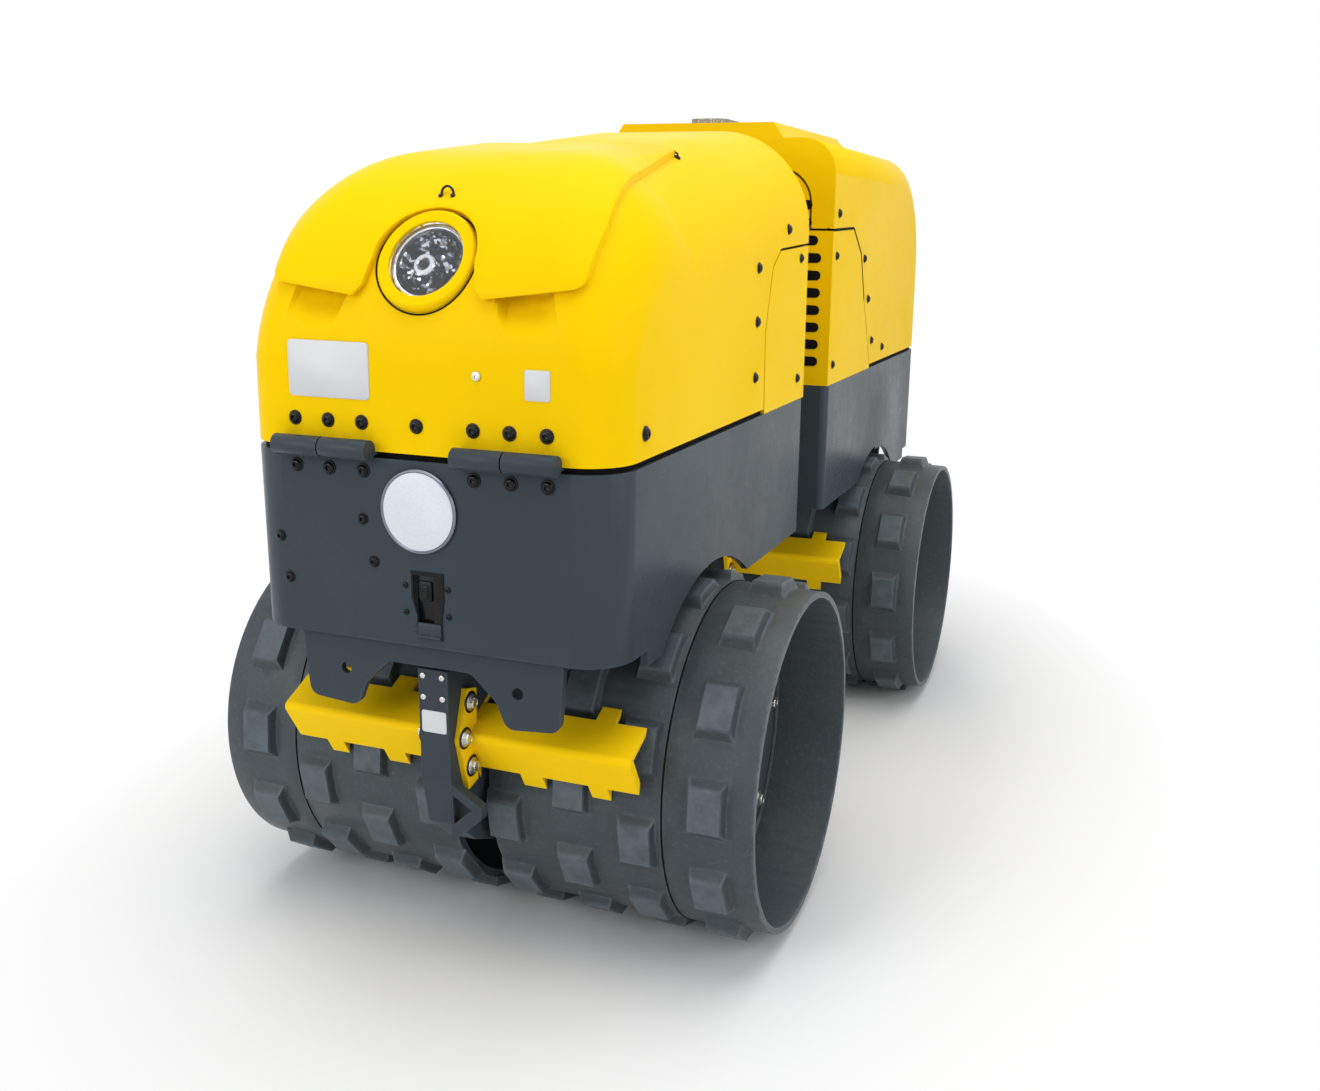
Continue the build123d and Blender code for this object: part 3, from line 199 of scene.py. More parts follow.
def paint(name, color, shade, rough, peel=0.10, corner_dust_and_shade=(0.10, 0.09, 0.07), corner_dust_and_shade_amount=0.25, gloss=0.5,
          edge_wear_and_highlight=None, edge_wear_and_highlight_amount=0.0, cast=0.0, edge_width=0.006, speckle=None, pad_top_light=None):
    """Machine paint: faint clouds, painted shade in corners (a paler dust on the cast iron), orange-peel or
    cast skin, edges in a wear colour that on the grey and drum paints is also a painted highlight, drum pad
    tops painted lighter as a highlight.
    """
    material, tree, shader = new_material(name)
    coord = node(tree, "TexCoord").outputs["Object"]
    cloud = remap(tree, noise(tree, coord, 2.6, 5.0, 0.6), 0.35, 0.7)
    speck = noise(tree, coord, 38.0, 6.0, 0.65)
    base = mix_color(tree, cloud, color, shade)
    # Painted shade: hollows darkened towards the corner colour, broken up by specks; on the cast iron the
    # colour is a paler dust.
    broken = math_node(tree, "MULTIPLY", hollow_mask(tree), remap(tree, speck, 0.38, 0.62))
    base = mix_color(tree, math_node(tree, "MULTIPLY", broken, corner_dust_and_shade_amount), base, corner_dust_and_shade)
    fine = noise(tree, coord, 420.0, 2.0, 0.5)
    rough_map = remap(tree, math_node(tree, "ADD", cloud, speck), 0.6, 1.4, rough - 0.06, rough + 0.10)
    # Edges in the edge colour: wear, and on the grey and drum paints, where it is lighter, a painted
    # highlight too.
    if edge_wear_and_highlight is not None:
        edge = math_node(tree, "MULTIPLY", edge_mask(tree, edge_width), remap(tree, speck, 0.40, 0.60))
        base = mix_color(tree, math_node(tree, "MULTIPLY", edge, edge_wear_and_highlight_amount), base, edge_wear_and_highlight)
    # Painted highlight: the drums' pad tops painted lighter, in patches.
    if pad_top_light is not None:
        patchy = remap(tree, speck, 0.30, 0.62, 0.25, 0.95)
        base = mix_color(tree, math_node(tree, "MULTIPLY", pad_top_light_mask(tree, coord), patchy), base, pad_top_light)
    if speckle is not None:
        spots = remap(tree, noise(tree, coord, 160.0, 4.0, 0.65), 0.54, 0.70)
        base = mix_color(tree, math_node(tree, "MULTIPLY", spots, 0.22), base, speckle)
    tree.links.new(base, shader.inputs["Base Color"])
    tree.links.new(rough_map, shader.inputs["Roughness"])
    shader.inputs["Specular IOR Level"].default_value = gloss
    layers = [(fine, peel, 0.0006)]
    if cast:
        layers.append((noise(tree, coord, 95.0, 5.0, 0.6), cast, 0.0015))
        layers.append((noise(tree, coord, 14.0, 3.0, 0.5), cast * 0.6, 0.004))
    bump(tree, shader, layers)
    return material


def metal(name, color, rough, dirt=0.35):
    """Bare or plated metal with fine grain and darker, rougher spots."""
    material, tree, shader = new_material(name)
    coord = node(tree, "TexCoord").outputs["Object"]
    spots = noise(tree, coord, 60.0, 6.0, 0.65)
    soiled = math_node(tree, "MULTIPLY", remap(tree, spots, 0.5, 0.72), dirt)
    tree.links.new(mix_color(tree, soiled, color, (0.10, 0.09, 0.08)), shader.inputs["Base Color"])
    tree.links.new(remap(tree, spots, 0.3, 0.7, rough - 0.05, rough + 0.14), shader.inputs["Roughness"])
    shader.inputs["Metallic"].default_value = 1.0
    bump(tree, shader, [(noise(tree, coord, 240.0, 2.0, 0.5), 0.12, 0.0004)])
    return material


def plastic(name, color, rough, grain=260.0, depth=0.18, speckle=None, gloss=0.5):
    """Plastic, rubber or lacquer with a moulded grain of the given depth."""
    material, tree, shader = new_material(name)
    coord = node(tree, "TexCoord").outputs["Object"]
    fine = noise(tree, coord, grain, 3.0, 0.6)
    shade = tuple(c * 0.86 for c in color)
    base = mix_color(tree, remap(tree, noise(tree, coord, 6.0), 0.35, 0.7), color, shade)
    if speckle:
        base = mix_color(tree, remap(tree, fine, 0.56, 0.62), base, speckle)
    tree.links.new(base, shader.inputs["Base Color"])
    tree.links.new(remap(tree, fine, 0.3, 0.7, rough - 0.05, rough + 0.08), shader.inputs["Roughness"])
    shader.inputs["Specular IOR Level"].default_value = gloss
    bump(tree, shader, [(fine, depth, 0.0005)])
    return material


def glass():
    """Clear lens with faint upright flutes."""
    material, tree, shader = new_material("clear_lens")
    coord = node(tree, "TexCoord").outputs["Object"]
    flutes = node(tree, "TexWave", wave_type="BANDS", bands_direction="X")
    flutes.inputs["Scale"].default_value = 26.0
    tree.links.new(coord, flutes.inputs["Vector"])
    shader.inputs["Base Color"].default_value = (0.96, 0.98, 1.0, 1.0)
    shader.inputs["Transmission Weight"].default_value = 1.0
    shader.inputs["IOR"].default_value = 1.46
    tree.links.new(remap(tree, noise(tree, coord, 30.0), 0.3, 0.7, 0.01, 0.05), shader.inputs["Roughness"])
    bump(tree, shader, [(flutes.outputs["Fac"], 0.10, 0.0006)])
    return material


def facets():
    """Chromed facets with a painted reflection: dark cells stand for a dark room mirrored in them, light
    cells for the lamps.
    """
    material, tree, shader = new_material("lamp_facets")
    coord = node(tree, "TexCoord").outputs["Object"]
    cells = node(tree, "TexVoronoi")
    cells.inputs["Scale"].default_value = 210.0
    tree.links.new(coord, cells.inputs["Vector"])
    split = node(tree, "SeparateColor")
    tree.links.new(cells.outputs["Color"], split.inputs[0])
    # Painted reflection: some cells coloured dark and some light in the metal's base colour.
    painted_reflection = remap(tree, split.outputs[0], 0.66, 0.92)
    base = mix_color(tree, painted_reflection, (0.012, 0.014, 0.022), (0.74, 0.77, 0.84))
    tree.links.new(base, shader.inputs["Base Color"])
    shader.inputs["Metallic"].default_value = 1.0
    tree.links.new(remap(tree, split.outputs[1], 0.0, 1.0, 0.05, 0.16), shader.inputs["Roughness"])
    return material


# The corner colours of the yellow, amber, grey and drum paints are painted shade.
YELLOW = paint("yellow_paint", (0.95, 0.622, 0.002), (0.91, 0.580, 0.002), 0.34, peel=0.05, gloss=0.02,
               corner_dust_and_shade=(0.42, 0.24, 0.01), corner_dust_and_shade_amount=0.35)
AMBER = paint("amber_paint", (1.0, 0.660, 0.004), (0.98, 0.610, 0.004), 0.42, peel=0.10, gloss=0.04,
              corner_dust_and_shade=(0.30, 0.17, 0.03), corner_dust_and_shade_amount=0.40, edge_wear_and_highlight=(0.40, 0.30, 0.12), edge_wear_and_highlight_amount=0.30)
# On the grey and drum paints the lighter edge colour is a painted highlight as well as wear.
GREY = paint("grey_paint", (0.050, 0.065, 0.077), (0.041, 0.055, 0.067), 0.30, peel=0.07, gloss=0.10,
             corner_dust_and_shade=(0.020, 0.019, 0.018), corner_dust_and_shade_amount=0.5, edge_wear_and_highlight=(0.10, 0.12, 0.135), edge_wear_and_highlight_amount=0.45)
# The drum's pad-top colour is a painted highlight.
DRUM = paint("drum_paint", (0.066, 0.080, 0.089), (0.044, 0.055, 0.063), 0.42, peel=0.16, cast=0.40,
             gloss=0.24, corner_dust_and_shade=(0.014, 0.014, 0.014), corner_dust_and_shade_amount=0.95, edge_wear_and_highlight=(0.175, 0.210, 0.235),
             edge_wear_and_highlight_amount=0.95, edge_width=0.009, speckle=(0.13, 0.155, 0.175), pad_top_light=(0.105, 0.132, 0.150))
STEEL = metal("bare_steel", (0.56, 0.57, 0.58), 0.32)
ZINC = metal("zinc_bolts", (0.68, 0.68, 0.66), 0.28, dirt=0.25)
RIM = metal("disc_rim", (0.20, 0.23, 0.27), 0.30, dirt=0.2)
CHROME = metal("chrome_rod", (0.80, 0.80, 0.82), 0.10, dirt=0.05)
MIRROR = metal("mirror_bowl", (0.86, 0.87, 0.89), 0.07, dirt=0.0)
IRON = paint("engine_iron", (0.040, 0.042, 0.045), (0.03, 0.031, 0.033), 0.6, cast=0.4)
BLACK = plastic("black_bolts", (0.006, 0.006, 0.007), 0.24, depth=0.04, gloss=0.22)
# Black rubber, also used for the black strips and plates that are painted shade in gaps and slots.
BLACK_RUBBER_AND_SHADE = plastic("black_rubber_and_shade", (0.005, 0.005, 0.005), 0.75, gloss=0.08)
RECEIVER = plastic("receiver_plastic", (0.22, 0.225, 0.23), 0.55, grain=420.0, speckle=(0.55, 0.56, 0.57))
PLATE = plastic("blank_plates", (0.66, 0.68, 0.70), 0.36, depth=0.06)
DISC = plastic("blank_disc", (0.76, 0.80, 0.86), 0.26, depth=0.04)
LENS = glass()
FACETS = facets()
SLOT_MATERIALS = {
    "yellow_paint": YELLOW, "amber_paint": AMBER, "grey_paint": GREY, "drum_paint": DRUM,
    "bare_steel": STEEL, "chrome_rod": CHROME, "mirror_bowl": MIRROR, "clear_lens": LENS,
    "engine_iron": IRON, "receiver_plastic": RECEIVER,
}

# Finish and eased edges of the CAD nodes, with bevel widths by the start of their names
BEVELS = (
    ("front_hood_lid", 0.0045), ("front_hood_hinge", 0.0012), ("rear_hood_hinge", 0.0012),
    ("front_hood", 0.0022), ("rear_hood", 0.0022), ("rear_vent_bulkhead", 0.0016),
    ("front_bulkhead", 0.0016), ("headlamp_lens", 0.0), ("headlamp_bezel", 0.0010),
    ("front_frame", 0.0020), ("rear_frame", 0.0020), ("front_drum", 0.0024), ("rear_drum", 0.0024),
    ("signal_receiver", 0.004),
)
OTHER_BEVEL = 0.0018


def add_bevel(obj, width, angle):
    modifier = obj.modifiers.new("bevel", "BEVEL")
    modifier.width = width
    modifier.segments = 2
    modifier.limit_method = "ANGLE"
    modifier.angle_limit = math.radians(angle)
    return modifier


for part in frame["record"]["subparts"]:
    obj = nodes[part["node"]]
    obj.data.materials.clear()
    obj.data.materials.append(SLOT_MATERIALS[part["material_slot"]])
    width = next((w for start, w in BEVELS if part["node"].startswith(start)), OTHER_BEVEL)
    if width:
        weld = obj.modifiers.new("weld", "WELD")
        weld.merge_threshold = 0.00002
        add_bevel(obj, width, 32).harden_normals = True


# Mesh builders
X_AXIS = Vector((1, 0, 0))
FORWARD = Vector((0, -1, 0))
HEX = True


def new_object(name, bm):
    mesh = bpy.data.meshes.new(name)
    bm.to_mesh(mesh)
    bm.free()
    obj = bpy.data.objects.new(name, mesh)
    bpy.context.scene.collection.objects.link(obj)
    return obj


def finish_piece(name, bm, material, body, smooth=35.0):
    """The piece on its body, smooth where faces meet at less than the angle smooth."""
    bmesh.ops.recalc_face_normals(bm, faces=bm.faces[:])
    obj = new_object(name, bm)
    obj.data.materials.append(material)
    if smooth:
        obj.data.shade_smooth()
        obj.data.set_sharp_from_angle(angle=math.radians(smooth))
    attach(obj, body)
    return obj


def bridge(bm, loops, closed=False):
    """Faces from each loop to the next, and either back to the first or over both ends."""
    pairs = list(zip(loops, loops[1:]))
    if closed:
        pairs.append((loops[-1], loops[0]))
    for a, b in pairs:
        for i in range(len(a)):
            j = (i + 1) % len(a)
            bm.faces.new((a[i], a[j], b[j], b[i]))
    if not closed:
        bm.faces.new(loops[0][::-1])
        bm.faces.new(loops[-1])


def circle(centre, u, v, radius, count):
    """Points round centre in the plane of u and v."""
    angles = [2 * math.pi * k / count for k in range(count)]
    return [centre + radius * (math.cos(a) * u + math.sin(a) * v) for a in angles]


def drum_circle(x, axle_y, radius, count):
    """Points round an axle."""
    angles = [2 * math.pi * k / count for k in range(count)]
    return [Vector((x, axle_y + radius * math.cos(a), AXLE_Z + radius * math.sin(a))) for a in angles]


def lathe(bm, matrix, rings, count=24, closed=False):
    """rings: radius, height, and HEX where the ring is a hexagon of that half width across flats."""
    loops = []
    for radius, height, *hexed in rings:
        loop = []
        for i in range(count):
            a = 2 * math.pi * i / count
            r = radius
            if hexed:
                r = radius / math.cos(((a + math.pi / 6) % (math.pi / 3)) - math.pi / 6)
            loop.append(bm.verts.new(matrix @ Vector((r * math.cos(a), r * math.sin(a), height))))
        loops.append(loop)
    bridge(bm, loops, closed)


def dome_bolt(bm, matrix, r):
    """Round flanged head with a hexagon socket."""
    lathe(bm, matrix, [
        (r * 1.22, -0.0006), (r * 1.22, r * 0.14), (r * 1.16, r * 0.20), (r * 0.98, r * 0.22),
        (r * 0.94, r * 0.40), (r * 0.80, r * 0.58), (r * 0.60, r * 0.68), (r * 0.46, r * 0.70),
        (r * 0.36, r * 0.69, HEX), (r * 0.35, r * 0.34, HEX), (r * 0.05, r * 0.26),
    ])


def hex_bolt(bm, matrix, r):
    """Hexagon head on a washer."""
    lathe(bm, matrix, [
        (r * 1.45, -0.0006), (r * 1.45, r * 0.20), (r * 1.38, r * 0.26), (r * 1.04, r * 0.27),
        (r * 0.90, r * 0.30, HEX), (r * 0.90, r * 0.86, HEX), (r * 0.88, r * 0.94), (r * 0.62, r * 0.98),
        (r * 0.55, r * 0.93), (r * 0.05, r * 0.93),
    ])


def screw(bm, matrix, r):
    """Small pan head with a hexagon drive."""
    lathe(bm, matrix, [
        (r, -0.0005), (r, r * 0.22), (r * 0.86, r * 0.46), (r * 0.52, r * 0.58),
        (r * 0.30, r * 0.59, HEX), (r * 0.26, r * 0.28, HEX), (r * 0.04, r * 0.22),
    ], 18)


def corner(cx, cy, radius, start, steps):
    """A quarter circle from the angle start."""
    angles = [math.radians(start + 90 * i / steps) for i in range(steps + 1)]
    return [(cx + radius * math.cos(a), cy + radius * math.sin(a)) for a in angles]


def rounded(width, height, radius):
    """Outline of a rounded rectangle round the origin."""
    points = []
    for sx, sy, start in ((1, 1, 0), (-1, 1, 90), (-1, -1, 180), (1, -1, 270)):
        points += corner(sx * (width / 2 - radius), sy * (height / 2 - radius), radius, start, 5)
    return points


def slab(bm, matrix, points, low, high, edge=0.0):
    """A plate from low to high over an outline, with its upper edge eased."""
    cx = sum(p[0] for p in points) / len(points)
    cy = sum(p[1] for p in points) / len(points)
    reach = max(math.hypot(p[0] - cx, p[1] - cy) for p in points)
    levels = [(0, low), (0, high - edge)]
    if edge:
        levels += [(edge * 0.4, high - edge * 0.3), (edge, high)]
    loops = []
    for inset, z in levels:
        k = 1 - inset / reach
        loops.append([bm.verts.new(matrix @ Vector((cx + (x - cx) * k, cy + (y - cy) * k, z)))
                      for x, y in points])
    bridge(bm, loops)


def tube(bm, path, radius, count=12, closed=False):
    """A round bar along a path of points."""
    loops = []
    n = len(path)
    side = None
    for i, point in enumerate(path):
        before = path[i - 1] if i or closed else path[i]
        after = path[(i + 1) % n] if i + 1 < n or closed else path[i]
        ahead = (after - before).normalized()
        if side is None:
            side = ahead.orthogonal().normalized()
        side = (side - ahead * side.dot(ahead)).normalized()
        loops.append([bm.verts.new(p) for p in circle(point, side, ahead.cross(side), radius, count)])
    bridge(bm, loops, closed)


def lathe_piece(name, matrix, rings, count, material, body):
    bm = bmesh.new()
    lathe(bm, matrix, rings, count)
    finish_piece(name, bm, material, body)


def slab_piece(name, slabs, material, body):
    """slabs: matrix, outline, low, high and, where its upper edge is eased, by how much."""
    bm = bmesh.new()
    for one in slabs:
        slab(bm, *one)
    finish_piece(name, bm, material, body)


def tube_piece(name, path, radius, material, body, closed=False):
    bm = bmesh.new()
    tube(bm, path, radius, 8, closed)
    finish_piece(name, bm, material, body)


# Form of the front hood and of the wings of both bulkheads, from the measures of the CAD model
# wings: distance from the inner end, height above the seam
WINGS = {
    "front": ((0.0, 0.250), (0.160, 0.243), (0.200, 0.218), (0.231, 0.120), (0.227, -0.008)),
    "rear": ((0.0, 0.274), (0.157, 0.278), (0.228, 0.230), (0.270, 0.139), (0.354, -0.008)),
}
WING_CORNER_R = 0.016
WING_CORNER_STEPS = 5
PANEL_GAP = 0.004
HOOD_WALL = 0.006
SHOULDER_R = 0.260
SHOULDER_BACK, SHOULDER_RISE = 0.006, 0.336
INNER_END_RISE = 0.435
RIM_LOW_R, RIM_TOP_R = 0.062, 0.160
RIM_STEPS = 14
HOOD_COLUMNS = 96
WIDE_STEP, FINE_STEP = math.radians(2.8), math.radians(0.7)
FINE_FROM, FINE_TO = math.radians(6), math.radians(25)
SCOOP_TOP = SEAM_Z + 0.202
SCOOP_DEPTH = 0.015
SCOOP_INNER_X = 0.098
SCOOP_SLANT = 0.35
SCOOP_EDGE = 0.010
SCOOP_FADE_X = (0.150, 0.200)
SCOOP_RISE_Z = (SCOOP_TOP - 0.056, SCOOP_TOP - 0.006)
SCOOP_END_Z = (SCOOP_TOP + 0.002, SCOOP_TOP + 0.012)
shoulder = Vector((0, END_Y["front"] + SHOULDER_BACK, SEAM_Z + SHOULDER_RISE))
UPWARD = (shoulder - Vector((0, END_Y["front"], SEAM_LOW))).normalized()
REARWARD = (Vector((0, INNER_Y["front"], SEAM_Z + INNER_END_RISE)) - shoulder).normalized()
half_angle = (math.pi - UPWARD.angle(REARWARD)) / 2
ROUND_CENTRE = shoulder + (REARWARD - UPWARD).normalized() * (SHOULDER_R / math.sin(half_angle))
WALL_LEAN = math.atan2(UPWARD.y, UPWARD.z)
TOP_LEAN = math.atan2(REARWARD.y, REARWARD.z)


def wing_line(half, gap):
    """The wing's edge moved outward by gap, with round corners, in the terms of WINGS."""
    points = [Vector(p) for p in WINGS[half]]
    ahead = [(b - a).normalized() for a, b in zip(points, points[1:])]
    normals = [Vector((-d.y, d.x)) for d in ahead]
    line = [points[0] + gap * normals[0]]
    for point, n1, n2 in zip(points[1:], normals, normals[1:]):
        middle = point - WING_CORNER_R * (n1 + n2) / (1 + n1.dot(n2))
        for i in range(WING_CORNER_STEPS + 1):
            line.append(middle + (WING_CORNER_R + gap) * n1.lerp(n2, i / WING_CORNER_STEPS).normalized())
    line.append(points[-1] + gap * normals[-1])
    return line


def solid(name, points, faces):
    bm = bmesh.new()
    verts = [bm.verts.new(p) for p in points]
    for face in faces:
        bm.faces.new([verts[i] for i in face])
    bmesh.ops.recalc_face_normals(bm, faces=bm.faces[:])
    return new_object(name, bm)


def prism(name, low, high):
    """low and high: the same outline at two places."""
    n = len(low)
    faces = [tuple(range(n)), tuple(range(2 * n - 1, n - 1, -1))]
    faces += [(i, (i + 1) % n, n + (i + 1) % n, n + i) for i in range(n)]
    return solid(name, low + high, faces)


def ease(value, low, high):
    """Smooth step from 0 at low to 1 at high."""
    k = min(max((value - low) / (high - low), 0.0), 1.0)
    return k * k * (3 - 2 * k)


def scoop_depth(x, z):
    """Soft hollow below each foot of the lid, with a firm inner edge that slants and a fading outer one."""
    x = abs(x)
    inner = SCOOP_INNER_X + SCOOP_SLANT * max(SCOOP_TOP - z, 0.0)
    in_x = ease(x, inner, inner + SCOOP_EDGE)
    out_x = 1 - ease(x, *SCOOP_FADE_X)
    in_z = ease(z, *SCOOP_RISE_Z)
    out_z = 1 - ease(z, *SCOOP_END_Z)
    return SCOOP_DEPTH * in_x * out_x * in_z * out_z


def hood_row(lean, wall, scooped=True):
    """Points across the hood from right to left where its outer face leans back by lean."""
    share = (lean - WALL_LEAN) / (TOP_LEAN - WALL_LEAN)
    outward = Vector((0, -math.cos(lean), math.sin(lean)))
    r = RIM_LOW_R + share * (RIM_TOP_R - RIM_LOW_R) - wall
    rims = []
    for t in (-1, 1):
        rim = []
        for i in range(RIM_STEPS + 1):
            a = math.pi / 2 * i / RIM_STEPS
            x = HALF_X - wall - r * (1 - math.cos(a))
            reach = SHOULDER_R - wall - r * (1 - math.sin(a))
            rim.append(ROUND_CENTRE + outward * reach + Vector((t * x, 0, 0)))
        rims.append(rim)
    crown = rims[1][-1]
    flat_x = HALF_X - wall - r
    middle = [Vector((flat_x * (2 * i / HOOD_COLUMNS - 1), crown.y, crown.z)) for i in range(1, HOOD_COLUMNS)]
    if scooped:
        middle = [p - outward * scoop_depth(p.x, p.z) for p in middle]
    return rims[0] + middle + rims[1][::-1]


def hood_form(name, wall, low_z, inner_y):
    """The hood as a closed block, wall inside its surface, down to low_z and back to inner_y."""
    leans = [WALL_LEAN]
    while leans[-1] < TOP_LEAN - 0.001:
        step = FINE_STEP if FINE_FROM < leans[-1] < FINE_TO else WIDE_STEP
        leans.append(min(leans[-1] + step, TOP_LEAN))
    lowest = [p + UPWARD * ((low_z - p.z) / UPWARD.z) for p in hood_row(WALL_LEAN, wall, False)]
    rearmost = [p + REARWARD * ((inner_y - p.y) / REARWARD.y) for p in hood_row(TOP_LEAN, wall, False)]
    rows = [lowest] + [hood_row(lean, wall) for lean in leans] + [rearmost]
    n = len(lowest)
    points = [p for row in rows for p in row]
    points += [Vector((t * (HALF_X - wall), inner_y, low_z)) for t in (-1, 1)]
    near, far = len(points) - 2, len(points) - 1
    last = (len(rows) - 1) * n
    faces = [(k * n + i, k * n + i + 1, (k + 1) * n + i + 1, (k + 1) * n + i)
             for k in range(len(rows) - 1) for i in range(n - 1)]
    faces.append(tuple(range(n)) + (far, near))
    faces.append(tuple(last + i for i in range(n)) + (far, near))
    faces.append(tuple(k * n for k in range(len(rows))) + (near,))
    faces.append(tuple(k * n + n - 1 for k in range(len(rows))) + (far,))
    return solid(name, points, faces)


def carved(obj, tools):
    """The mesh of obj less the tools. None of them stays in the scene."""
    for tool in tools:
        modifier = obj.modifiers.new("carve", "BOOLEAN")
        modifier.operation = "DIFFERENCE"
        modifier.solver = "EXACT"
        modifier.object = tool
    bpy.context.view_layer.update()
    mesh = bpy.data.meshes.new_from_object(obj.evaluated_get(bpy.context.evaluated_depsgraph_get()))
    for used in (*tools, obj):
        bpy.data.objects.remove(used)
    return mesh


# Front hood: shell with smooth rims and scoops, open to the fixed wings, the inner end and the lamp
LAMP_TILT = math.radians(30.0)
LAMP_NORMAL = Vector((0, -math.cos(LAMP_TILT), math.sin(LAMP_TILT)))
LAMP_ACROSS = LAMP_NORMAL.cross(X_AXIS)
LAMP_AT = ROUND_CENTRE + LAMP_NORMAL * SHOULDER_R
LAMP_SEAT_R = 0.0665
LAMP_CUT_REACH = 0.12
CUT_BELOW, CUT_BEHIND, CUT_PAST = 0.03, 0.06, 0.002
CUT_HALF_X = 0.3
END_OPENING_HALF_X = 0.222
END_OPENING_R = 0.064
END_OPENING_ARC_X, END_OPENING_ARC_Z = 0.158, 1.050
inner_y = INNER_Y["front"]
behind_y = inner_y + CUT_BEHIND
below_z = SEAM_Z - CUT_BELOW
inside = hood_form("hood_inside", HOOD_WALL, SEAM_HIGH - CUT_BELOW, inner_y - HOOD_WALL)
edge = [(inner_y - a, SEAM_Z + h) for a, h in wing_line("front", PANEL_GAP)]
edge = [(behind_y, edge[0][1])] + edge + [(edge[-1][0], below_z), (behind_y, below_z)]
wing_cut = prism("wing_cut", *[[Vector((x, y, z)) for y, z in edge] for x in (-CUT_HALF_X, CUT_HALF_X)])
opening = [(-END_OPENING_HALF_X, below_z), (END_OPENING_HALF_X, below_z)]
opening += corner(END_OPENING_ARC_X, END_OPENING_ARC_Z, END_OPENING_R, 0, 9)
opening += corner(-END_OPENING_ARC_X, END_OPENING_ARC_Z, END_OPENING_R, 90, 9)
end_cut = prism("end_cut", *[[Vector((x, y, z)) for x, z in opening]
                             for y in (inner_y + CUT_PAST, inner_y - HOOD_WALL - CUT_PAST)])
seat = circle(LAMP_AT, X_AXIS, LAMP_ACROSS, LAMP_SEAT_R, 72)
lamp_cut = prism("lamp_cut", [p - LAMP_CUT_REACH * LAMP_NORMAL for p in seat],
                 [p + LAMP_CUT_REACH * LAMP_NORMAL for p in seat])
block = hood_form("hood_shell", 0.0, SEAM_HIGH, inner_y)
bm = bmesh.new()
bm.from_mesh(carved(block, (inside, wing_cut, end_cut, lamp_cut)))
bmesh.ops.remove_doubles(bm, verts=bm.verts[:], dist=0.00005)
hood_shell = finish_piece("front_hood_shell", bm, YELLOW, "front_hood_body", smooth=32.0)
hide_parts("front_hood")
add_bevel(hood_shell, 0.0020, 34)
hood_shell.modifiers.new("even", "WEIGHTED_NORMAL").keep_sharp = True


# Where a ray meets the model
def model_tree():
    """All faces of the nodes, with the new hood for the old one, and the node of each face."""
    points, faces, owners = [], [], []
    for name, obj in nodes.items():
        mesh = hood_shell.data if name == "front_hood" else obj.data
        start = len(points)
        points.extend(v.co.copy() for v in mesh.vertices)
        for polygon in mesh.polygons:
            faces.append([start + i for i in polygon.vertices])
            owners.append(name)
    return BVHTree.FromPolygons(points, faces), owners


MODEL_TREE, FACE_NODES = model_tree()
NODE_BODY = {n: b for b, names in frame["record"]["behaviour"]["bodies"].items() for n in names}
INWARD = {"front": Vector((0, 1, 0)), "rear": Vector((0, -1, 0))}
DOWN = Vector((0, 0, -1))
FIRST_SPIN, SPIN_STEP = 0.4, 1.7


def hit(point, direction, reach=1.2):
    """Where a ray through point, from outside, first meets the model: place, outward normal and node."""
    origin = Vector(point) - direction * reach
    place, normal, index, _ = MODEL_TREE.ray_cast(origin, direction)
    if place is None:
        raise ValueError(f"nothing lies at {tuple(point)}")
    if normal.dot(direction) > 0:
        normal = -normal
    return place, normal, FACE_NODES[index]


def pose(place, normal, spin=0.0):
    """A matrix with +Z along the normal and +Y as near to up as it can be."""
    z = normal.normalized()
    reference = Vector((0, 0, 1)) if abs(z.z) < 0.95 else FORWARD
    x = reference.cross(z).normalized()
    y = z.cross(x)
    turned = Matrix((x, y, z)).transposed().to_4x4()
    return Matrix.Translation(place) @ turned @ Matrix.Rotation(spin, 4, "Z")


def shifted(matrix, x, y, z=0.0):
    return matrix @ Matrix.Translation((x, y, z))


def fasteners(name, build, radius, points, direction, material):
    """One piece for each body that the points lie on."""
    groups = {}
    for i, point in enumerate(points):
        place, normal, on = hit(point, direction)
        groups.setdefault(NODE_BODY[on], []).append(pose(place, normal, FIRST_SPIN + SPIN_STEP * i))
    for body, poses in groups.items():
        bm = bmesh.new()
        for matrix in poses:
            build(bm, matrix, radius)
        finish_piece(f"{name}_{body}" if len(groups) > 1 else name, bm, material, body)


def blank_plate(name, x, z, width, height, radius, body):
    place, normal, _ = hit((x, END_Y["front"], z), INWARD["front"])
    outline = rounded(width, height, radius)
    slab_piece(name, [(pose(place, normal), outline, -0.0008, PLATE_THICK, PLATE_THICK * 0.5)], PLATE, body)


# Front and rear ends: bolts, screws, blank plates
END_BOLT_R, END_SCREW_R = 0.0076, 0.0062
HOOD_BOLT_RISE, FRAME_BOLT_DROP = 0.039, 0.021
HOOD_BOLT_X = (0.0, 0.078, -0.078, 0.127, -0.127, 0.176, -0.176)
FRAME_BOLT_X = (0.078, -0.078, 0.128, -0.128, 0.177, -0.177)
FRAME_SCREWS = ((-0.082, 0.647), (-0.209, 0.613), (-0.068, 0.593), (-0.198, 0.559))
PLATE_THICK = 0.0014
for half in HALVES:
    y = END_Y[half]
    look = INWARD[half]
    rows = (("hood_bolts", END_BOLT_R, [(x, y, SEAM_Z + HOOD_BOLT_RISE) for x in HOOD_BOLT_X]),
            ("frame_bolts", END_BOLT_R, [(x, y, SEAM_Z - FRAME_BOLT_DROP) for x in FRAME_BOLT_X]),
            ("frame_screws", END_SCREW_R, [(x, y, z) for x, z in FRAME_SCREWS]))
    for row_name, radius, points in rows:
        fasteners(f"{half}_{row_name}", dome_bolt, radius, points, look, BLACK)
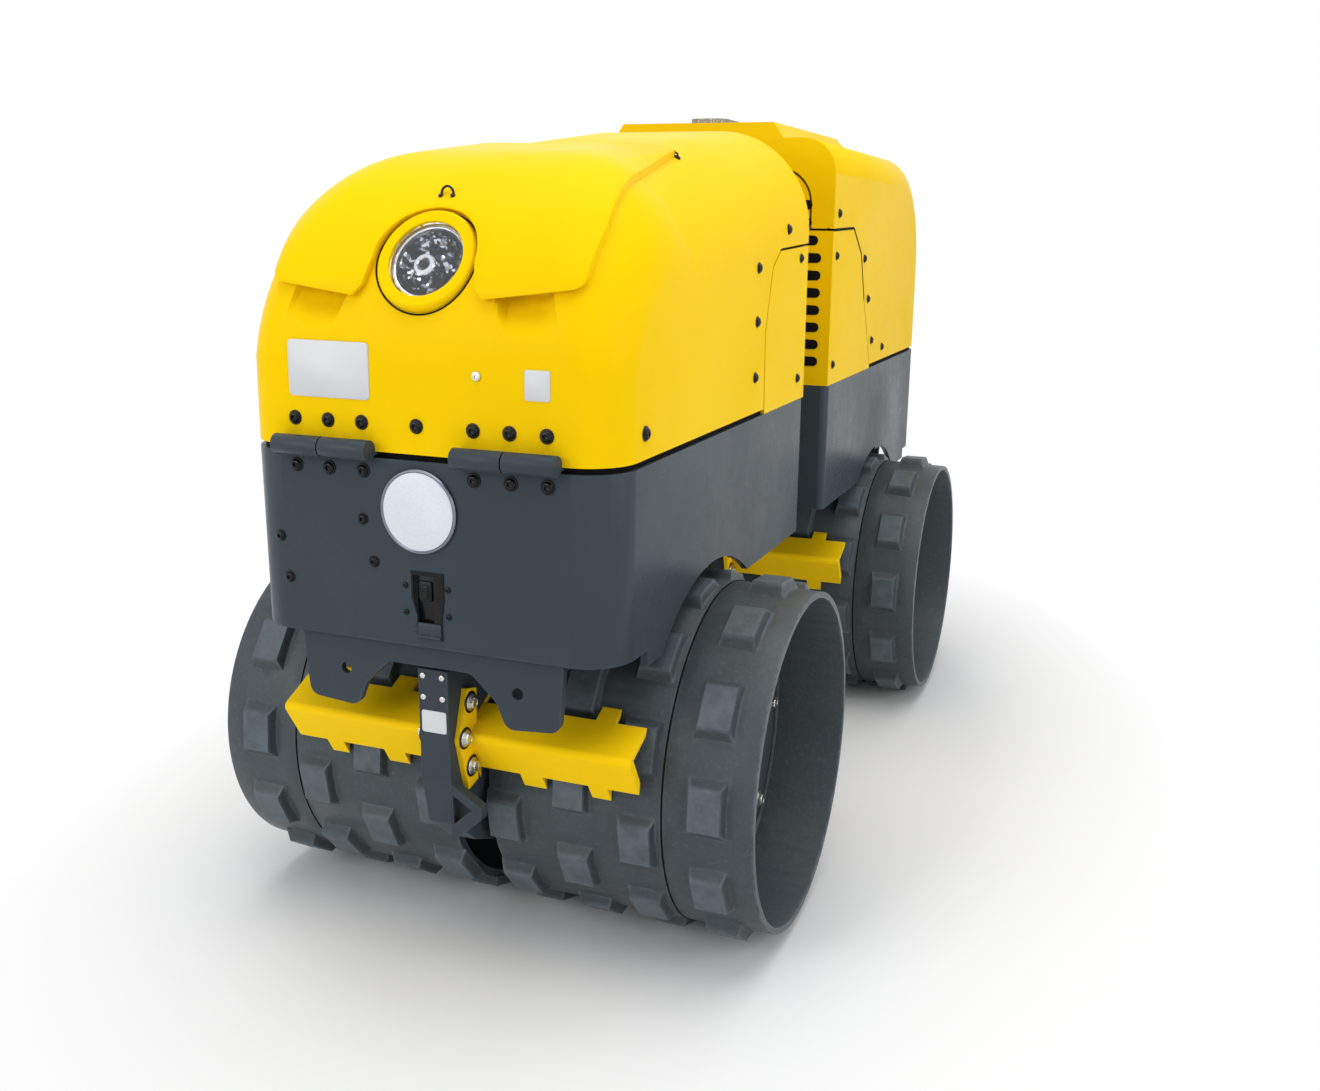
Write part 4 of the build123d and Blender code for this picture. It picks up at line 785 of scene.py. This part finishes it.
blank_plate("front_label_plate", -0.1240, 0.8316, 0.1175, 0.070, 0.006, "front_hood_body")
blank_plate("front_small_plate", 0.1640, 0.8270, 0.033, 0.036, 0.003, "front_hood_body")
blank_plate("nose_small_plate", 0.0005, 0.381, 0.036, 0.030, 0.003, "front_half")
fasteners("front_hood_screw", screw, END_SCREW_R, [(0.084, END_Y["front"], 0.834)], INWARD["front"], ZINC)

# Blank round disc with its rim, in the middle of the front end plate
DISC_Z = 0.6635
place, normal, _ = hit((0.0, END_Y["front"], DISC_Z), INWARD["front"])
disc_at = pose(place, normal)
DISC_RIM_RINGS = ((0.0535, -0.0008), (0.0535, 0.0030), (0.0524, 0.0044), (0.0506, 0.0046),
                  (0.0497, 0.0034), (0.0490, 0.0030), (0.010, 0.0030))
DISC_RINGS = ((0.0492, 0.0026), (0.0492, 0.0036), (0.0480, 0.0040), (0.006, 0.0046))
lathe_piece("front_disc_rim", disc_at, DISC_RIM_RINGS, 64, RIM, "front_half")
lathe_piece("front_disc", disc_at, DISC_RINGS, 64, DISC, "front_half")

# Socket in the recess of the front end plate
SERVICE_Z = 0.545
SERVICE_SCREW_R, SERVICE_SCREW_X, SERVICE_SCREW_Z = 0.0040, (-0.0237, 0.0375), (0.532, 0.567)
FILLER = ((-0.0178, 0.0376), (-0.0178, -0.0376), (-0.0085, -0.0376), (-0.0085, -0.0170),
          (-0.0130, 0.0060), (-0.0130, 0.0376))
MOUTH_OUTER = ((-0.0150, 0.0420), (-0.0150, 0.0075), (-0.0080, -0.0160), (-0.0080, -0.0455),
               (0.0285, -0.0455), (0.0285, -0.0160), (0.0320, 0.0075), (0.0320, 0.0420))
MOUTH_EASED = tuple((x * 0.97, y * 0.985) for x, y in MOUTH_OUTER)
MOUTH_INNER = ((-0.0118, 0.0370), (-0.0118, 0.0085), (-0.0064, -0.0150), (-0.0064, -0.0370),
               (0.0172, -0.0370), (0.0172, -0.0150), (0.0174, 0.0085), (0.0174, 0.0370))
recess_y = hit((0.0, END_Y["front"], SERVICE_Z), INWARD["front"])[0].y
plate_y = hit((0.040, END_Y["front"], SERVICE_Z), INWARD["front"])[0].y
panel = pose(Vector((0, recess_y, SERVICE_Z)), FORWARD)
cover = pose(Vector((0, plate_y, SERVICE_Z)), FORWARD)
slab_piece("service_filler", [(panel, FILLER, -0.0004, recess_y - plate_y + 0.0001)], GREY, "front_half")
bm = bmesh.new()
levels = ((MOUTH_INNER, -0.0005), (MOUTH_OUTER, -0.0005), (MOUTH_OUTER, 0.0010), (MOUTH_EASED, 0.0016),
          (MOUTH_INNER, 0.0010))
loops = [[bm.verts.new(cover @ Vector((x, y, z))) for x, y in points] for points, z in levels]
bridge(bm, loops, closed=True)
finish_piece("service_frame", bm, BLACK, "front_half")
slab_piece("service_socket", [
    (shifted(panel, 0.004, 0), rounded(0.0270, 0.0740, 0.002), -0.0004, 0.0016, 0.0006),
    (shifted(panel, 0.003, 0.016), rounded(0.0190, 0.0260, 0.003), 0.0010, 0.0048, 0.0010),
    (shifted(panel, 0.003, 0.016), rounded(0.0100, 0.0160, 0.002), 0.0044, 0.0060, 0.0008),
], BLACK, "front_half")
slab_piece("service_latch", [
    (shifted(cover, 0.0103, -0.0335), rounded(0.0330, 0.0190, 0.002), 0.0006, 0.0034, 0.0012),
    (shifted(cover, 0.0103, -0.0415), rounded(0.0330, 0.0035, 0.001), 0.0030, 0.0052, 0.0008),
], GREY, "front_half")
service_screws = [(x, END_Y["front"], z) for x in SERVICE_SCREW_X for z in SERVICE_SCREW_Z]
fasteners("service_screws", screw, SERVICE_SCREW_R, service_screws, INWARD["front"], BLACK)

# Side bolts, as Y and Z
SIDE_BOLT_R, CORNER_BOLT_R, WING_BOLT_R = 0.0070, 0.0080, 0.0066
SIDE_X = 0.26
SIDE_ROWS = (
    ("front_side_bolts", SIDE_BOLT_R, ((-0.239, 1.006), (-0.396, 0.950), (-0.397, 0.871), (-0.401, 0.788))),
    ("rear_side_bolts", SIDE_BOLT_R,
     ((0.085, 1.035), (0.306, 0.951), (0.353, 0.870), (0.403, 0.783), (0.512, 0.761))),
    ("front_corner_bolt", CORNER_BOLT_R, ((END_Y["front"] + 0.0875, 0.766),)),
    ("front_wing_bolts", WING_BOLT_R, [(INNER_Y["front"] - 0.044, z) for z in (0.763, 0.960)]),
    ("rear_wing_bolts", WING_BOLT_R, [(INNER_Y["rear"] + 0.030, z) for z in (0.763, 0.960)]),
)
for side, t in SIDES.items():
    for row_name, radius, row in SIDE_ROWS:
        fasteners(f"{row_name}_{side}", dome_bolt, radius, [(t * SIDE_X, y, z) for y, z in row],
                  Vector((-t, 0, 0)), BLACK)

# Lamp: faceted bowl behind the CAD lens, bulb holder, and the seam round the bezel
LENS_DEPTH = 0.0085
FACET_COUNT = 28
LAMP_SEAM_R = 0.0684
BOWL_RINGS = ((0.0492, -0.0002), (0.0460, -0.0010), (0.0445, -0.0065), (0.0400, -0.0150),
              (0.0335, -0.0220), (0.0260, -0.0272), (0.0190, -0.0300))
LENS_RIM_RINGS = ((0.0488, -0.0006), (0.0488, 0.0004), (0.0470, 0.0007), (0.0452, -0.0004),
                  (0.0446, -0.0030), (0.0442, -0.0060), (0.0455, -0.0062), (0.0455, -0.0012),
                  (0.0470, -0.0006))
HOLDER_RINGS = ((0.0060, -0.0270), (0.0060, -0.0075), (0.0142, -0.0070), (0.0146, -0.0040),
                (0.0130, -0.0020), (0.0090, -0.0016), (0.0076, -0.0036), (0.0010, -0.0040))
BULB_CAP_RINGS = ((0.0072, -0.0041), (0.0072, -0.0028), (0.0050, -0.0022), (0.0008, -0.0020))
lens_points = [v.co.copy() for v in nodes["headlamp_lens"].data.vertices]
lens_reach = max(p.dot(LAMP_NORMAL) for p in lens_points)
lens_centre = sum(lens_points, Vector()) / len(lens_points)
lamp = pose(lens_centre + LAMP_NORMAL * (lens_reach - lens_centre.dot(LAMP_NORMAL) - LENS_DEPTH), LAMP_NORMAL)
bulb = shifted(lamp, -0.0080, -0.0020)
bm = bmesh.new()
loops = []
for k, (r, h) in enumerate(BOWL_RINGS):
    offset = 0.5 * (k % 2) if k > 1 else 0.0
    angles = [2 * math.pi * (i + offset) / FACET_COUNT for i in range(FACET_COUNT)]
    loops.append([bm.verts.new(lamp @ Vector((r * math.cos(a), r * math.sin(a), h))) for a in angles])
for k, (a, b) in enumerate(zip(loops, loops[1:])):
    for i in range(FACET_COUNT):
        j = (i + 1) % FACET_COUNT
        if k == 0:
            bm.faces.new((a[i], a[j], b[j], b[i]))
        elif k % 2:
            bm.faces.new((a[i], a[j], b[i]))
            bm.faces.new((a[j], b[j], b[i]))
        else:
            bm.faces.new((a[i], b[j], b[i]))
            bm.faces.new((a[i], a[j], b[j]))
bm.faces.new(loops[-1])
reflector = finish_piece("headlamp_reflector", bm, FACETS, "front_hood_body", smooth=None)
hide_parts("headlamp_bowl")
bm = bmesh.new()
lathe(bm, lamp, LENS_RIM_RINGS, 64, closed=True)
lathe(bm, bulb, HOLDER_RINGS, 40)
finish_piece("headlamp_bulb_holder", bm, CHROME, "front_hood_body")
lathe_piece("headlamp_bulb_cap", bulb, BULB_CAP_RINGS, 24, BLACK, "front_hood_body")
groove = [hit(p, -LAMP_NORMAL, 0.3)[0] for p in circle(LAMP_AT, X_AXIS, LAMP_ACROSS, LAMP_SEAM_R, 120)]
tube_piece("headlamp_seam", groove, 0.0012, BLACK_RUBBER_AND_SHADE, "front_hood_body", closed=True)

# Staple above the lamp and clips at the lid's rear corners
STAPLE_AT = (0.0, -0.834, 1.043)
STAPLE_HALF_X, STAPLE_RISE, STAPLE_R = 0.0085, 0.0100, 0.0016
STAPLE_FOOT = Vector((0, 0, 0.006))
COLLAR_DROP = Vector((0, 0, 0.004))
COLLAR_RINGS = ((0.0030, 0), (0.0030, 0.0042), (0.0022, 0.0052), (0.0006, 0.0052))
CLIP_X, CLIP_Y, CLIP_Z = 0.169, -0.504, 1.1
CLIP_WIRE_R = 0.0014
place, normal, _ = hit(STAPLE_AT, DOWN)
arch = [place + Vector((STAPLE_HALF_X * math.cos(a), 0, 0.0004 + STAPLE_RISE * math.sin(a)))
        for a in (math.pi * k / 10 for k in range(11))]
bm = bmesh.new()
tube(bm, [arch[0] - STAPLE_FOOT, *arch, arch[-1] - STAPLE_FOOT], STAPLE_R)
for end in (arch[0], arch[-1]):
    lathe(bm, pose(end - COLLAR_DROP, normal), COLLAR_RINGS, 16)
finish_piece("hood_staple", bm, BLACK, "front_hood_body")
for side, t in SIDES.items():
    place, normal, on = hit((t * CLIP_X, CLIP_Y, CLIP_Z), DOWN)
    at = pose(place, normal)
    bm = bmesh.new()
    slab(bm, at, rounded(0.007, 0.020, 0.003), -0.001, 0.0030, 0.0010)
    wire = ((-0.006, 0.0020), (-0.004, 0.0060), (0.004, 0.0060), (0.006, 0.0020))
    tube(bm, [at @ Vector((0, y, z)) for y, z in wire], CLIP_WIRE_R, 10)
    finish_piece(f"hood_clip_{side}", bm, BLACK, NODE_BODY[on])

# Black strips deep in the two seams: painted shade, dark in place of the shade in the gaps
OUTER_CORNER_R, INNER_CORNER_R = 0.062, 0.014
SHADE_STRIP_OUTER_INSET, SHADE_STRIP_INNER_INSET = 0.0060, 0.0110
SHADE_STRIP_STEPS = 8


def seam_outline(low, high, inset):
    """Outline of a half at its seam, inset from its faces. low, high: Y of an end, its corner radius."""
    (y_low, low_radius), (y_high, high_radius) = low, high
    points = []
    for sx, sy, y, radius, start in ((1, 1, y_high, high_radius, 0), (-1, 1, y_high, high_radius, 90),
                                     (-1, -1, y_low, low_radius, 180), (1, -1, y_low, low_radius, 270)):
        r = max(radius - inset, 0.002)
        points += corner(sx * (HALF_X - inset - r), y - sy * (inset + r), r, start, SHADE_STRIP_STEPS)
    return points


for half in HALVES:
    ends = sorted([(END_Y[half], OUTER_CORNER_R), (INNER_Y[half], INNER_CORNER_R)])
    outer, inner = [seam_outline(*ends, inset) for inset in (SHADE_STRIP_OUTER_INSET, SHADE_STRIP_INNER_INSET)]
    foot, top = SEAM_LOW - 0.001, SEAM_HIGH - 0.0012
    bm = bmesh.new()
    bridge(bm, [[bm.verts.new((x, y, z)) for x, y in points]
                for points, z in ((inner, foot), (outer, foot), (outer, top), (inner, top))], closed=True)
    # Painted shade: the strip is black where the seam gap shows.
    finish_piece(f"{half}_seam_shade_strip", bm, BLACK_RUBBER_AND_SHADE, f"{half}_half")

# Black strips behind the gaps round the fixed wings, painted shade in the gaps, and a rubber lip in the rear
# ones
WING_SHADE_R, WING_SHADE_DEPTH = 0.0034, 0.0098
LIP_LOW, LIP_HIGH = -0.0010, 0.0006
for half, s in HALVES.items():
    for side, t in SIDES.items():
        line = wing_line(half, PANEL_GAP / 2)[:-1]
        path = [Vector((t * (HALF_X - WING_SHADE_DEPTH), INNER_Y[half] + s * a, SEAM_Z + h)) for a, h in line]
        # Painted shade: a black tube behind the gap.
        tube_piece(f"{half}_wing_gap_shade_{side}", path, WING_SHADE_R, BLACK_RUBBER_AND_SHADE, f"{half}_half")
        if half == "rear":
            near = wing_line(half, -0.0008)[:-1]
            far = wing_line(half, PANEL_GAP - 0.0004)[:-1]
            bm = bmesh.new()
            lip = [[bm.verts.new((t * (HALF_X + out), INNER_Y[half] + s * a, SEAM_Z + h)) for a, h in line]
                   for line, out in ((near, LIP_LOW), (near, LIP_HIGH), (far, LIP_HIGH), (far, LIP_LOW))]
            for first, second in zip(lip, lip[1:] + lip[:1]):
                for i in range(len(near) - 1):
                    bm.faces.new((first[i], first[i + 1], second[i + 1], second[i]))
            bm.faces.new([line[0] for line in lip])
            bm.faces.new([line[-1] for line in lip][::-1])
            finish_piece(f"{half}_wing_lip_{side}", bm, BLACK_RUBBER_AND_SHADE, f"{half}_half")

# Dark ends of the vent slots: black plates, painted shade in place of the slots' dark insides
VENT_RISE, VENT_PITCH = 0.040, 0.031
VENT_INNER_X = 0.198
VENT_HEIGHT, VENT_CORNER_R = 0.0172, 0.0084
VENT_OUTER_X = (0.2430,) * 7 + (0.2360, 0.2230, 0.2230)
for side, t in SIDES.items():
    slabs = []
    for i, outer_x in enumerate(VENT_OUTER_X):
        z = SEAM_Z + VENT_RISE + VENT_PITCH * i
        at = pose(Vector((t * (VENT_INNER_X + outer_x) / 2, INNER_Y["rear"], z)), FORWARD)
        outline = rounded(outer_x - VENT_INNER_X, VENT_HEIGHT, VENT_CORNER_R)
        slabs.append((at, outline, -0.0004, 0.0008, 0.0003))
    slab_piece(f"vent_slot_shade_{side}", slabs, BLACK_RUBBER_AND_SHADE, "rear_half")

# Screws on the noses of the drum supports, and the bolts and washers of the scrapers
NOSE_BOLT_R, NOSE_BOLT_X, NOSE_BOLT_Z = 0.0042, (-0.014, 0.014), (0.414, 0.443)
SCRAPER_APEX, SCRAPER_RISE = 0.300, 0.091
SCRAPER_BOLT_R, SCRAPER_BOLT_SPIN = 0.0080, 0.3
SCRAPER_BOLTS = ((-0.012, 0.045), (0.004, 0.000), (-0.012, -0.045))
SUPPORT_SIDE_X = 0.030
WASHER_RINGS = ((0.0150, -0.0004), (0.0150, 0.0006), (0.0145, 0.0010), (0.003, 0.0010))
for half, s in HALVES.items():
    nose_bolts = [(x, END_Y[half], z) for x in NOSE_BOLT_X for z in NOSE_BOLT_Z]
    fasteners(f"{half}_nose_bolts", screw, NOSE_BOLT_R, nose_bolts, INWARD[half], ZINC)
    for place_name, way in (("outer", 1), ("inner", -1)):
        apex = AXLE_Y[half] + s * way * SCRAPER_APEX
        for side, t in SIDES.items():
            spots = [Vector((t * SUPPORT_SIDE_X, apex + s * way * dy, AXLE_Z + SCRAPER_RISE + dz))
                     for dy, dz in SCRAPER_BOLTS]
            outward = Vector((t, 0, 0))
            bolts, washers = bmesh.new(), bmesh.new()
            for spot in spots:
                hex_bolt(bolts, pose(spot, outward, SCRAPER_BOLT_SPIN), SCRAPER_BOLT_R)
                lathe(washers, pose(spot, outward), WASHER_RINGS)
            scraper = f"{half}_{place_name}_scraper_{side}"
            finish_piece(f"{scraper}_bolts", bolts, ZINC, f"{half}_half")
            finish_piece(f"{scraper}_washers", washers, BLACK, f"{half}_half")

# Drums: hub caps, bolts of web and ring, weld beads, dark joints of the rings
WEB_X, RING_FACE_X = 0.276, 0.297
HUB_CAP_RINGS = ((0.082, -0.001), (0.082, 0.006), (0.079, 0.009), (0.058, 0.010), (0.056, 0.028),
                 (0.052, 0.032), (0.020, 0.034), (0.004, 0.034))
HUB_BOLT_AT_R, HUB_BOLT_RISE, HUB_BOLT_R = 0.069, 0.0095, 0.0075
RING_BOLT_AT_R, RING_BOLT_R = 0.205, 0.0100
DRUM_BOLTS = 8
WELD_X, WELD_AT_R, WELD_R = 0.2985, 0.2345, 0.0034
JOINT_X, JOINT_AT_R, JOINT_R = 0.285, 0.2474, 0.0016
for half in HALVES:
    body = f"{half}_drums"
    axle_y = AXLE_Y[half]
    for side, t in SIDES.items():
        hub = pose(Vector((t * WEB_X, axle_y, AXLE_Z)), Vector((t, 0, 0)))
        ring_face = pose(Vector((t * RING_FACE_X, axle_y, AXLE_Z)), Vector((t, 0, 0)))
        lathe_piece(f"{half}_hub_cap_{side}", hub, HUB_CAP_RINGS, 48, DRUM, body)
        bm = bmesh.new()
        for at, from_axle, rise, radius, turn in ((hub, HUB_BOLT_AT_R, HUB_BOLT_RISE, HUB_BOLT_R, 0.5),
                                                  (ring_face, RING_BOLT_AT_R, 0, RING_BOLT_R, 0)):
            for i in range(DRUM_BOLTS):
                a = 2 * math.pi * (i + turn) / DRUM_BOLTS
                hex_bolt(bm, shifted(at, from_axle * math.cos(a), from_axle * math.sin(a), rise), radius)
        finish_piece(f"{half}_hub_bolts_{side}", bm, ZINC, body)
        bead = drum_circle(t * WELD_X, axle_y, WELD_AT_R, 96)
        tube_piece(f"{half}_ring_weld_{side}", bead, WELD_R, DRUM, body, closed=True)
        joint = drum_circle(t * JOINT_X, axle_y, JOINT_AT_R, 120)
        tube_piece(f"{half}_ring_joint_{side}", joint, JOINT_R, BLACK_RUBBER_AND_SHADE, body, closed=True)


# Studio
FLOOR_OVAL = (0.72, 1.22)
FLOOR_FADE = (0.80, 1.35)


def floor_paint():
    """Pale floor that keeps the shadow near the machine and fades to plain white round it."""
    material, tree, shader = new_material("studio_floor")
    coord = node(tree, "NewGeometry").outputs["Position"]
    oval = node(tree, "Mapping")
    oval.inputs["Scale"].default_value = (1 / FLOOR_OVAL[0], 1 / FLOOR_OVAL[1], 0.0)
    tree.links.new(coord, oval.inputs["Vector"])
    far = vector_math(tree, "LENGTH", oval.outputs["Vector"]).outputs["Value"]
    path = node(tree, "LightPath")
    seen = math_node(tree, "MAXIMUM", path.outputs["Is Camera Ray"], path.outputs["Is Glossy Ray"])
    white = node(tree, "Emission")
    white.inputs["Strength"].default_value = 1.0
    shader.inputs["Base Color"].default_value = (0.90, 0.90, 0.90, 1.0)
    tree.links.new(remap(tree, noise(tree, coord, 3.0), 0.3, 0.7, 0.75, 0.9), shader.inputs["Roughness"])
    shader.inputs["Specular IOR Level"].default_value = 0.1
    blend = node(tree, "MixShader")
    tree.links.new(math_node(tree, "MULTIPLY", remap(tree, far, *FLOOR_FADE), seen), blend.inputs[0])
    tree.links.new(shader.outputs[0], blend.inputs[1])
    tree.links.new(white.outputs[0], blend.inputs[2])
    tree.links.new(blend.outputs[0], tree.nodes["Material Output"].inputs["Surface"])
    return material


def background(tree, color, strength):
    n = node(tree, "Background")
    n.inputs["Color"].default_value = (*color, 1.0)
    n.inputs["Strength"].default_value = strength
    return n.outputs[0]


def studio_world():
    """Dim even light, and plain white where the camera, a reflection or the glass sees it."""
    world = bpy.data.worlds.new("studio")
    world.use_nodes = True
    tree = world.node_tree
    tree.nodes.clear()
    path = node(tree, "LightPath")
    seen = math_node(tree, "MAXIMUM", path.outputs["Is Camera Ray"], path.outputs["Is Glossy Ray"])
    seen = math_node(tree, "MAXIMUM", seen, path.outputs["Is Transmission Ray"])
    blend = node(tree, "MixShader")
    tree.links.new(seen, blend.inputs[0])
    tree.links.new(background(tree, (0.97, 0.985, 1.0), 0.50), blend.inputs[1])
    tree.links.new(background(tree, (1.0, 1.0, 1.0), 1.0), blend.inputs[2])
    tree.links.new(blend.outputs[0], node(tree, "OutputWorld").inputs["Surface"])
    return world


def softbox(name, at, target, size, power):
    data = bpy.data.lights.new(name, "AREA")
    data.shape = "RECTANGLE"
    data.size, data.size_y = size
    data.energy = power
    obj = bpy.data.objects.new(name, data)
    direction = (Vector(target) - Vector(at)).normalized()
    obj.matrix_world = Matrix.Translation(at) @ direction.to_track_quat("-Z", "Y").to_matrix().to_4x4()
    bpy.context.scene.collection.objects.link(obj)


bpy.ops.mesh.primitive_plane_add(size=60.0, location=(0, 0, 0))
floor = bpy.context.object
floor.name = "studio_floor"
floor.data.materials.append(floor_paint())
bpy.context.scene.world = studio_world()
softbox("top_softbox", (0.3, -0.6, 3.6), (0, -0.1, 0.6), (3.2, 3.2), 68.0)
softbox("front_softbox", (-1.6, -3.6, 1.9), (0, -0.4, 0.6), (2.2, 1.8), 39.0)
softbox("side_softbox", (3.4, -0.8, 1.7), (0, 0, 0.6), (2.2, 1.6), 33.0)
